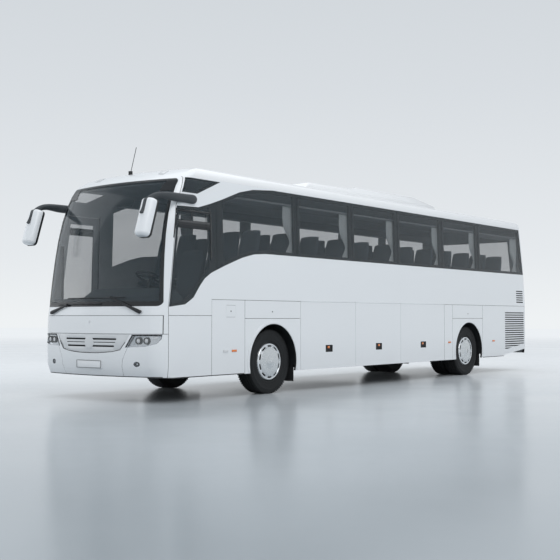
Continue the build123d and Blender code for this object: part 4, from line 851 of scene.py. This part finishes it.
def windscreen():
    """One bowed sheet in a regular grid, with a black printed border."""
    low, high, wide, narrow, radius = WINDSCREEN
    side_band, low_band, top_band, patch = 0.036, 0.085, 0.035, 0.20

    def half_at(z):
        half = wide + (narrow - wide) * (z - low) / (high - low)
        edge = min(z - low, high - z)
        if edge < radius:
            half -= radius - sqrt(max(0, radius**2 - (radius - edge)**2))
        return half

    def dark(x, z):
        """Whether the border is printed here: wider below, and with a patch in the upper corners."""
        corner = z > high - patch and x > 0.97 - (high - z) * 0.4
        return x > half_at(z) - side_band or z < low + low_band or z > high - top_band or corner

    ends = [radius * (1 - cos(pi / 2 * k / 8)) for k in range(9)]
    middle, parts = high - low - 2 * radius, 56
    rows = [low + e for e in ends] + [low + radius + middle * k / parts for k in range(1, parts)]
    rows += [high - e for e in reversed(ends)]
    columns, points, index = 121, [], []
    shares = [copysign(1 - (1 - abs(u))**1.4, u) for u in
              (2 * j / (columns - 1) - 1 for j in range(columns))]
    for z in rows:
        plan = Plan(z)
        edge = plan.t_of_x(half_at(z) - 0.0005)
        points += [plan.at(edge * u) for u in shares]
    for i in range(len(rows) - 1):
        middle = (rows[i] + rows[i + 1]) / 2
        for j in range(columns - 1):
            x = abs(points[i * columns + j].x + points[i * columns + j + 1].x) / 2
            index.append(int(dark(x, middle)))
    faces = grid_faces(len(rows), columns)
    screen = piece_from("windscreen_glass", points, faces, ["screen", "frit"], 60, index)
    thicken(screen, GLASS)
    follow_form(screen.data)
    seat_on(screen, "root", "tinted_glass", "windscreen")


class COACH_OT_glazing(CoachOperator, bpy.types.Operator):
    """Side windows, windscreen, rear window and door glass"""
    bl_idname = "coach.glazing"
    bl_label = "Glazing"

    def execute(self, context):
        for node in ("side_windows", "rear_window", "front_door_glass"):
            dressed(node, "glass", "tinted_glass", form=True)
        windscreen()
        sliding_pane = [
            ((0.520, 2.565), (1.270, 2.565), 0.120), ((0.561, 2.790), (0.487, 2.353), 0.022),
            ((1.268, 2.070), (1.268, 2.800), 0.030), ((0.855, 2.625), (0.855, 2.752), 0.014),
            ((1.165, 2.500), (1.165, 2.752), 0.014), ((0.590, 2.762), (1.270, 2.762), 0.030)]
        for name, side, body, bars in (
                ("driver_window_bars", LEFT, "root", sliding_pane),
                ("door_glass_bars", RIGHT, "door_leaf", [((0.560, 2.588), (1.180, 2.588), 0.120)])):
            made = [strip("window_bar", side, [start, end], width, "frit") for start, end, width in bars]
            seat_on(joined(name, made), body, "black_plastic")
        return {"FINISHED"}


def head_lights():
    """Rings and lenses of the head and fog lamps, and the dark brow over each pair."""
    ring = [(0.050, -0.030), (0.050, -0.008), (0.046, -0.004), (0.041, -0.005), (0.036, -0.018),
            (0.036, -0.030)]
    lens = [(0.0, -0.004), (0.012, -0.0048), (0.024, -0.008), (0.033, -0.014), (0.036, -0.020),
            (0.036, -0.030), (0.0, -0.030)]
    fog_ring = [(r * 0.62, out) for r, out in ring]
    fog_lens = [(r * 0.6, out - 0.004) for r, out in lens]
    rings, lenses, lean = [], [], 0.6
    for side in (LEFT, RIGHT):
        for x, z, outer, inner, glow, steps in (
                (0.914, 0.884, ring, lens, "clear", 48), (1.045, 0.885, ring, lens, "clear", 48),
                (0.894, 0.553, fog_ring, fog_lens, "bowl", 40)):
            rings.append(stud("lamp_ring", 0, side * x, z, outer, "plastic", steps, lean))
            lenses.append(stud("lamp_lens", 0, side * x, z, inner, glow, steps, lean))
        for path, width in (([(0.812, 0.961), (1.228, 0.963)], 0.020),
                            ([(0.826, 0.966), (0.722, 0.797)], 0.018)):
            rings.append(strip("lamp_brow", 0, [(side * x, z) for x, z in path], width, "frit"))
    seat_on(joined("lamp_rings", rings), "root", "black_plastic")
    seat_on(joined("lamp_lenses", lenses), "root", "lamp_clear")


def tail_lights():
    """Round lenses of the tail lamps, and the reflectors of the rear bumper."""
    lens = [(0.0, 0.0045), (0.030, 0.0042), (0.052, 0.0030), (0.060, 0.0008), (0.060, -0.004),
            (0.0, -0.004)]
    for name, slot, rows in (("amber", "lamp_amber", (1.500,)), ("red", "lamp_red", (1.340, 1.020)),
                             ("clear", "lamp_clear", (1.180,))):
        made = [turned(name, lens, (side * 1.030, y_at(straight(LEVELS, z, BACK)), z), (0, 1, 0),
                       name, 40) for side in (LEFT, RIGHT) for z in rows]
        seat_on(joined(f"tail_lens_{name}", made), "root", slot)
    made = [block("reflector", (side * 0.890, y_at(LENGTH - 0.003), 0.560),
                  (side * 1.070, y_at(LENGTH + 0.004), 0.600), "red", 0.001) for side in (LEFT, RIGHT)]
    seat_on(joined("rear_reflectors", made), "root", "lamp_red")


class COACH_OT_lamps(CoachOperator, bpy.types.Operator):
    """Head lamps, grille, tail lamps and markers"""
    bl_idname = "coach.lamps"
    bl_label = "Lamps"

    def execute(self, context):
        dressed("head_lamps", ["lamp_glass", "bowl"], "lamp_clear", 0.001, form=True,
                choose=lambda place, _: 0 if outside(*place) > -0.004 else 1)
        dressed("grille", ["grille", "seam"], "grille_dark", 0.0015,
                choose=lambda place, normal: 0 if normal.y < -0.6 and outside(*place) > -0.016 else 1)
        dressed("tail_lamps", ["red", "seam"], "lamp_red", 0.002, form=True,
                choose=lambda place, _: 0 if outside(*place) > -0.0035 else 1)
        dressed("marker_lamps", ["amber", "clear"], "lamp_amber", 0.002,
                choose=lambda place, _: 1 if place.z > 2 or place.y + MID < 1.65 else 0)
        head_lights()
        tail_lights()
        blank = [(0.0, 0.0015), (0.060, 0.0008), (0.084, -0.0012), (0.0925, -0.004), (0.0925, -0.014),
                 (0.0, -0.014)]
        seat_on(stud("grille_blank_disc", 0, 0.0, 0.853, blank, "grille", 64), "root", "grille_dark")
        half = [(0.706, 0.872), (0.613, 0.761), (0.480, 0.735), (0.351, 0.722), (0.180, 0.712), (0.0, 0.709)]
        under = [(x, z - 0.006) for x, z in (*half, *((-x, z) for x, z in reversed(half[:-1])))]
        seat_on(strip("grille_shadow", 0, under, 0.009, "seam"), "root", "black_plastic")
        pip = [(0.0, -0.005), (0.018, -0.007), (0.026, -0.012), (0.026, -0.030), (0.0, -0.030)]
        turns = [stud("indicator", 0, side * 1.176, 0.925, pip, "clear", 32, 0.8) for side in (LEFT, RIGHT)]
        seat_on(joined("indicators", turns), "root", "lamp_clear")
        return {"FINISHED"}


def wheel_zone(axle):
    """Picks chrome on the rim, satin on the crowned cap, and black painted shade in its slots and behind."""
    behind, rim_r, cap_r, edge, crown = 0.11, 0.262, 0.236, 0.1305, 0.016

    def choose(place, _):
        radius = hypot(place.y - y_at(axle), place.z - TYRE_R)
        out = abs(place.x) - TRACK_X
        # Painted shade: black behind the cap and in its slots.
        if out < behind:
            return 2
        if radius > rim_r:
            return 0
        return 1 if out > edge + crown * max(0, (cap_r - radius) / cap_r) else 2
    return choose


def cap_slot_shades(name, side, axle):
    """Thin black pieces in the cap's long slots, just inside its bright ring: painted shade where the slots
    open.
    """
    count, middle, half_angle, slots = 14, 0.2488, 0.205, 10
    cap_r, cap_out, slope = 0.2385, 0.1405, 0.30
    points = []
    for edge in (0.2365, 0.2610):
        for k in range(count + 1):
            u = 2 * k / count - 1
            r = middle + (edge - middle) * sqrt(max(0.04, 1 - abs(u)**5))
            angle = half_angle * u
            out = TRACK_X + cap_out - slope * (r - cap_r)
            points.append((side * out, r * sin(angle), r * cos(angle)))
    one = piece_from(name, points, grid_faces(2, count + 1), "seam")
    if one.data.polygons[0].normal.x * side < 0:
        one.data.flip_normals()
    thicken(one, 0.003)
    return repeated(one, "seam", slots, (0, y_at(axle), TYRE_R), turn=2 * pi / slots)


def cap_pieces(side, axle):
    """The cap's satin dome, stepped at its edge, and the polished ring round it."""
    dome = [(0.0, 0.1515), (0.060, 0.1510), (0.064, 0.1495), (0.130, 0.1480), (0.190, 0.1455),
            (0.222, 0.1430), (0.230, 0.1410), (0.2325, 0.1375), (0.2325, 0.1340), (0.0, 0.1340)]
    ring = [(0.2630, 0.1320), (0.2655, 0.1375), (0.2720, 0.1400), (0.2830, 0.1390), (0.2920, 0.1330),
            (0.2955, 0.1230), (0.2630, 0.1230)]
    centre, axis = (side * TRACK_X, y_at(axle), TYRE_R), (side, 0, 0)
    return [turned("cap_dome", dome, centre, axis, "cap", 128, 25),
            turned("cap_ring", ring, centre, axis, "chrome", 128, 50)]


def whole_tyre(name, side, axle, x):
    """A radial tyre: ribbed sidewalls, four grooves and blocks round both shoulders."""
    half, lugs, lug_half, lug_in, lug_out, skew = TYRE_W / 2, 72, 0.0095, 0.100, 0.1395, 0.03
    wall = [(RIM_R + 0.0003, 0.100), (0.2985, 0.111), (0.2985, 0.121), (0.306, 0.126), (0.312, 0.1245),
            (0.330, 0.136), (0.334, 0.1395), (0.338, 0.1385), (0.372, half - 0.004), (0.376, half - 0.001),
            (0.380, half - 0.0035), (0.410, half - 0.0005), (0.440, half - 0.001), (0.444, half + 0.0005),
            (0.448, half - 0.0015), (0.470, half - 0.005), (0.492, 0.1365), (0.503, 0.130), (0.509, 0.122)]
    tread, depth, top, bottom = [], 0.012, 0.006, 0.0045
    for middle in (0.075, 0.025, -0.025, -0.075):
        high, low = (TYRE_R - 1.1 * (middle + d)**2 * 0.15 for d in (top, bottom))
        tread += [(high - 0.0001, middle + top), (high - depth, middle + bottom),
                  (low - depth, middle - bottom), (low - 0.0001, middle - top)]
    section = wall + tread + [(r, -out) for r, out in reversed(wall)]
    carcass = turned(name, section, (side * x, y_at(axle), TYRE_R), (side, 0, 0), "tyre", 160, 28)
    blocks = []
    for hand in (1, -1):
        one = block(name + "_lug", (side * x + hand * lug_in, -lug_half, 0.487),
                    (side * x + hand * lug_out, lug_half, 0.5112), "tyre", 0.002)
        one.data.transform(Matrix.Rotation(skew * hand, 4, "X"))
        blocks.append(repeated(one, "tyre", lugs, (0, y_at(axle), TYRE_R), turn=2 * pi / lugs))
    return joined(name, [carcass, *blocks])


class COACH_OT_wheels(CoachOperator, bpy.types.Operator):
    """Wheels and tyres"""
    bl_idname = "coach.wheels"
    bl_label = "Wheels"

    def execute(self, context):
        for side, word in SIDES:
            for axle, wheel, tyre, body, centres in (
                    (FRONT_AXLE, "front_wheel", "front_tyre", "steered_wheel", [TRACK_X]),
                    (REAR_AXLE, "drive_wheels", "drive_tyres", "twin_wheels", [TRACK_X, TRACK_X - TWIN_GAP])):
                dressed(f"{wheel}_{word}", ["chrome", "cap", "seam"], "chrome", EDGE, 30, wheel_zone(axle))
                body = f"{body}_{word}"
                # Painted shade: black pieces in the cap's slots.
                seat_on(cap_slot_shades(f"{wheel}_slots_{word}", side, axle), body, "black_plastic")
                seat_on(joined(f"{wheel}_cap_{word}", cap_pieces(side, axle)), body, "chrome")
                made = [whole_tyre(f"{tyre}_{word}_{k}", side, axle, x) for k, x in enumerate(centres)]
                seat_on(joined(f"{tyre}_{word}_finish", made), body, "tyre", f"{tyre}_{word}")
            dressed(f"front_knuckle_{word}", "iron", "engine_iron", 0.002)
        return {"FINISHED"}


def pad(name, size, middle, lean):
    """A crowned pad, fuller in its middle and with sewn channels across. A back's top is narrower."""
    across, along, upright = 14, 18, size[2] > size[1]
    fullness, rim_share, stitch, channels, taper = 0.42, 0.35, 0.0035, 3.5, 0.10
    length, depth = (size[2] / 2, size[1] / 2) if upright else (size[1] / 2, size[2] / 2)
    points, faces = [], []
    for face in (1, -1):
        for i in range(along + 1):
            for j in range(across + 1):
                u, v = 2 * j / across - 1, 2 * i / along - 1
                edge = max(0.0, (1 - abs(u)**5) * (1 - abs(v)**7))**fullness
                channel = stitch * (cos(v * pi * channels)**16) * edge
                width = size[0] / 2 * (1 - (taper * max(0, v)**3 if upright else 0) - 0.02 * abs(v)**3)
                rise = length * (v - 0.045 * copysign(abs(v)**3 * abs(u)**3, v))
                crown = rim_share + (1 - rim_share) * edge * (1 - 0.10 * u * u)
                out = face * (depth * crown * (edge > 0) - channel)
                points.append((u * width, -out, rise) if upright else (u * width, rise, out))
    pitch, count = across + 1, (across + 1) * (along + 1)
    for a, b, c, d in grid_faces(along + 1, pitch):
        faces += [(a, b, c, d), (count + a, count + d, count + c, count + b)]
    rim = [*range(across), *(i * pitch + across for i in range(along)),
           *(count - 1 - j for j in range(across)), *((along - i) * pitch for i in range(along))]
    faces += [(a, b, count + b, count + a) for a, b in zip(rim, rim[1:] + rim[:1])]
    turn = Matrix.Rotation(lean, 3, "X")
    placed = [turn @ Vector(p) + Vector(middle) for p in points]
    return outwards(piece_from(name, placed, faces, "cloth", 60))


class COACH_OT_seats(CoachOperator, bpy.types.Operator):
    """Padded seats in rows, and the driver's"""
    bl_idname = "coach.seats"
    bl_label = "Seats"

    def execute(self, context):
        for name, node, size, driver_size, back, up, lean in (
                ("seat_backs_padded", "seat_backs", (0.424, 0.072, 0.770), (0.470, 0.074, 0.770),
                 0.505, 0.828, radians(-14.2)),
                ("seat_cushions_padded", "seat_cushions", (0.424, 0.440, 0.112), (0.480, 0.440, 0.112),
                 0.225, 0.378, 0.0)):
            row = [pad(f"{node}_{k}", size, (x, y_at(ROW_FIRST + back), FLOOR_Z + up), lean)
                   for k, x in enumerate((0.4825, 0.9175, -0.4825, -0.9175))]
            rows = repeated(joined(name + "_row", row), "cloth", ROWS, step=(0, ROW_PITCH, 0))
            driver = pad("driver_" + node, driver_size, (0.580, y_at(DRIVER_STATION + back), CAB_FLOOR_Z + up),
                         lean)
            whole = joined(name, [rows, driver])
            soften(whole.data, 60)
            seat_on(whole, "root", "seat_fabric", node)
        return {"FINISHED"}


def curtain(name, side, station):
    """Pleated cloth from under the rack to the sill, drawn in at its tie."""
    pleats, columns, rows, top, tie_z, tie_height = 7, 85, 26, 3.045, 2.47, 0.16
    above, below, narrower, fold_depth, flatter, gap, shift = 0.330, 0.260, 0.62, 0.013, 0.35, 0.030, 0.06
    points = []
    for i in range(rows):
        z = top - 0.800 * i / (rows - 1)
        tie = exp(-((z - tie_z) / tie_height)**2)
        width = (above if z > tie_z else below) * (1 - narrower * tie)
        for j in range(columns):
            u = j / (columns - 1)
            fold = fold_depth * (1 - flatter * tie) * sin(2 * pi * pleats * u + 0.5 * sin(3 * z))
            points.append((side * (half_width_at(z) - WALL - gap - fold),
                           y_at(station + width * (u - 0.5) + shift * tie), z))
    cloth = piece_from(name, points, grid_faces(rows, columns), "curtain", 60)
    area = sum(face.area for face in cloth.data.polygons)
    seat_on(cloth, "root", "seat_fabric")
    area / 0.800


class COACH_OT_curtains(CoachOperator, bpy.types.Operator):
    """A gathered curtain beside each window pillar"""
    bl_idname = "coach.curtains"
    bl_label = "Curtains"

    def execute(self, context):
        stations = [station - 0.200 for _, station in PILLARS[1:]] + [11.86]
        for side, word in SIDES:
            for number, station in enumerate(stations, 1):
                curtain(f"curtain_{word}_{number}", side, station)
        return {"FINISHED"}


def mirrors():
    """Mirrors with dark arms that bend over white heads, black rims and bright glass."""
    lean, head_x = radians(17), 1.232
    foot = Vector((0, y_at(-0.1336), 2.330))
    up_way, back_way = Vector((0, sin(lean), cos(lean))), Vector((0, cos(lean), -sin(lean)))
    band_up, band_half, rim_back, glass_back, slack = 0.44, 0.034, 0.022, 0.0590, 1.16
    bend = [(Vector((y_at(station), z)), radius) for station, z, radius in (
        (0.250, 2.938, 0.050), (0.070, 2.900, 0.042), (-0.060, 2.795, 0.037), (-0.148, 2.655, 0.027))]

    def on_arm(place):
        """Whether a face of the head's zone lies on the arm's bend."""
        point = Vector((place.y, place.z))
        for (a, r), (b, q) in zip(bend, bend[1:]):
            share = max(0, min(1, (point - a).dot(b - a) / (b - a).length_squared))
            beside = (point - a.lerp(b, share)).length
            if hypot(beside, abs(place.x) - head_x) < slack * (r + (q - r) * share):
                return True
        return False

    def choose(place, normal):
        y, z, side = place.y - foot.y, place.z - foot.z, abs(abs(place.x) - head_x)
        up, back = y * sin(lean) + z * cos(lean), y * cos(lean) - z * sin(lean)
        head = -0.003 < up < 0.563 and -0.0955 < back < 0.0615 and side < 0.1235
        if not head or on_arm(place) or (up > band_up and back < rim_back and side < band_half):
            return 0
        if back > glass_back and normal.dot(back_way) > 0.9:
            return 3
        return 2 if back > rim_back else 1
    cuts = [(foot + back_way * rim_back, back_way), (foot + up_way * band_up, up_way)]
    cuts += [(Vector((side * (head_x + edge), 0, 0)), Vector((1, 0, 0))) for side in (LEFT, RIGHT)
             for edge in (-band_half, band_half)]
    finishes = ["arm", "paint", "plastic", "mirror"]
    dressed("mirrors", finishes, "black_plastic", 0.003, 40, choose, cuts=cuts)


def wiper_cover(pivot, end):
    """The moulded cover over a wiper's arm, thick at its pivot."""
    a, b = (on_skin(0, x, z) + Vector((0, -0.030, 0)) for x, z in (pivot, end))
    along = (b - a).normalized()
    across = along.cross(Vector((0, 1, 0))).normalized()
    out = across.cross(along).normalized()
    points, sides = [], 16
    sections = ((-0.030, 0.010, 0.010), (-0.018, 0.026, 0.017), (0.05, 0.029, 0.019),
                (0.22, 0.024, 0.016), (0.90, 0.013, 0.0135), (1.0, 0.012, 0.0135))
    for share, wide, deep in sections:
        middle = a + (b - a) * share if share > 0 else a + along * share
        points += [middle + across * (wide * cos(t)) + out * (deep * sin(t))
                   for t in (2 * pi * n / sides for n in range(sides))]
    faces = ring_faces([(i, i + 1) for i in range(len(sections) - 1)], sides)
    faces += [tuple(range(sides)), tuple(range(len(points) - sides, len(points)))]
    return outwards(piece_from("wiper_cover", points, faces, "plastic", 50))


class COACH_OT_fittings(CoachOperator, bpy.types.Operator):
    """Mirrors, wipers and aerial"""
    bl_idname = "coach.fittings"
    bl_label = "Outer fittings"

    def execute(self, context):
        mirrors()
        dressed("wipers", "plastic", "black_plastic", 0.002, 40)
        covers = [wiper_cover(pivot, end) for pivot, end in
                  (((0.934, 1.297), (0.409, 1.504)), ((-0.978, 1.290), (-0.558, 1.404)))]
        seat_on(joined("wiper_arm_covers", covers), "root", "black_plastic")
        dressed("aerial", "plastic", "black_plastic", 0.0, 40)
        return {"FINISHED"}


class COACH_OT_inside(CoachOperator, bpy.types.Operator):
    """Floors, racks, cab and running gear"""
    bl_idname = "coach.inside"
    bl_label = "Inside"

    def execute(self, context):
        for node, finish, slot, width in (
                ("saloon_floor", "floor", "floor_grey", 0), ("cab_floor", "floor", "floor_grey", 0),
                ("luggage_racks", "rack", "trim_grey", 0.008), ("luggage_bays", "steel", "frame_steel", 0),
                ("dashboard", "trim", "trim_grey", 0.02), ("steering_wheel", "plastic", "black_plastic", 0),
                ("seat_frames", "steel", "frame_steel", 0.004),
                ("wheel_housings", "plastic", "black_plastic", 0),
                ("underframe", "steel", "frame_steel", 0.002), ("front_axle", "iron", "engine_iron", 0.003),
                ("rear_axle", "iron", "engine_iron", 0.003), ("engine", "iron", "engine_iron", 0.01),
                ("mud_flaps", "rubber", "black_rubber", 0.002), ("front_door_arm", "steel", "frame_steel", 0)):
            dressed(node, finish, slot, width)
        return {"FINISHED"}


class COACH_PT_panel(bpy.types.Panel):
    """Lists the coach's parts in the sidebar."""
    bl_label = "Coach"
    bl_space_type = "VIEW_3D"
    bl_region_type = "UI"
    bl_category = "Coach"

    def draw(self, context):
        for key in CoachSettings.__annotations__:
            self.layout.prop(context.scene.coach, key)
        for operator in OPERATORS:
            self.layout.operator(operator.bl_idname)


OPERATORS = (STAGE_OT_studio, COACH_OT_panels, COACH_OT_glazing, COACH_OT_lamps, COACH_OT_wheels,
             COACH_OT_seats, COACH_OT_curtains, COACH_OT_fittings, COACH_OT_inside)
CLASSES = (CoachSettings, *OPERATORS, COACH_PT_panel)


def register():
    for cls in CLASSES:
        bpy.utils.register_class(cls)
    bpy.types.Scene.coach = bpy.props.PointerProperty(type=CoachSettings)


def unregister():
    del bpy.types.Scene.coach
    for cls in reversed(CLASSES):
        bpy.utils.unregister_class(cls)


def main():
    register()
    make_materials(bpy.context.scene.coach)
    for operator in OPERATORS:
        group, name = operator.bl_idname.split(".")
        getattr(getattr(bpy.ops, group), name)()


if __name__ == "__main__":
    main()
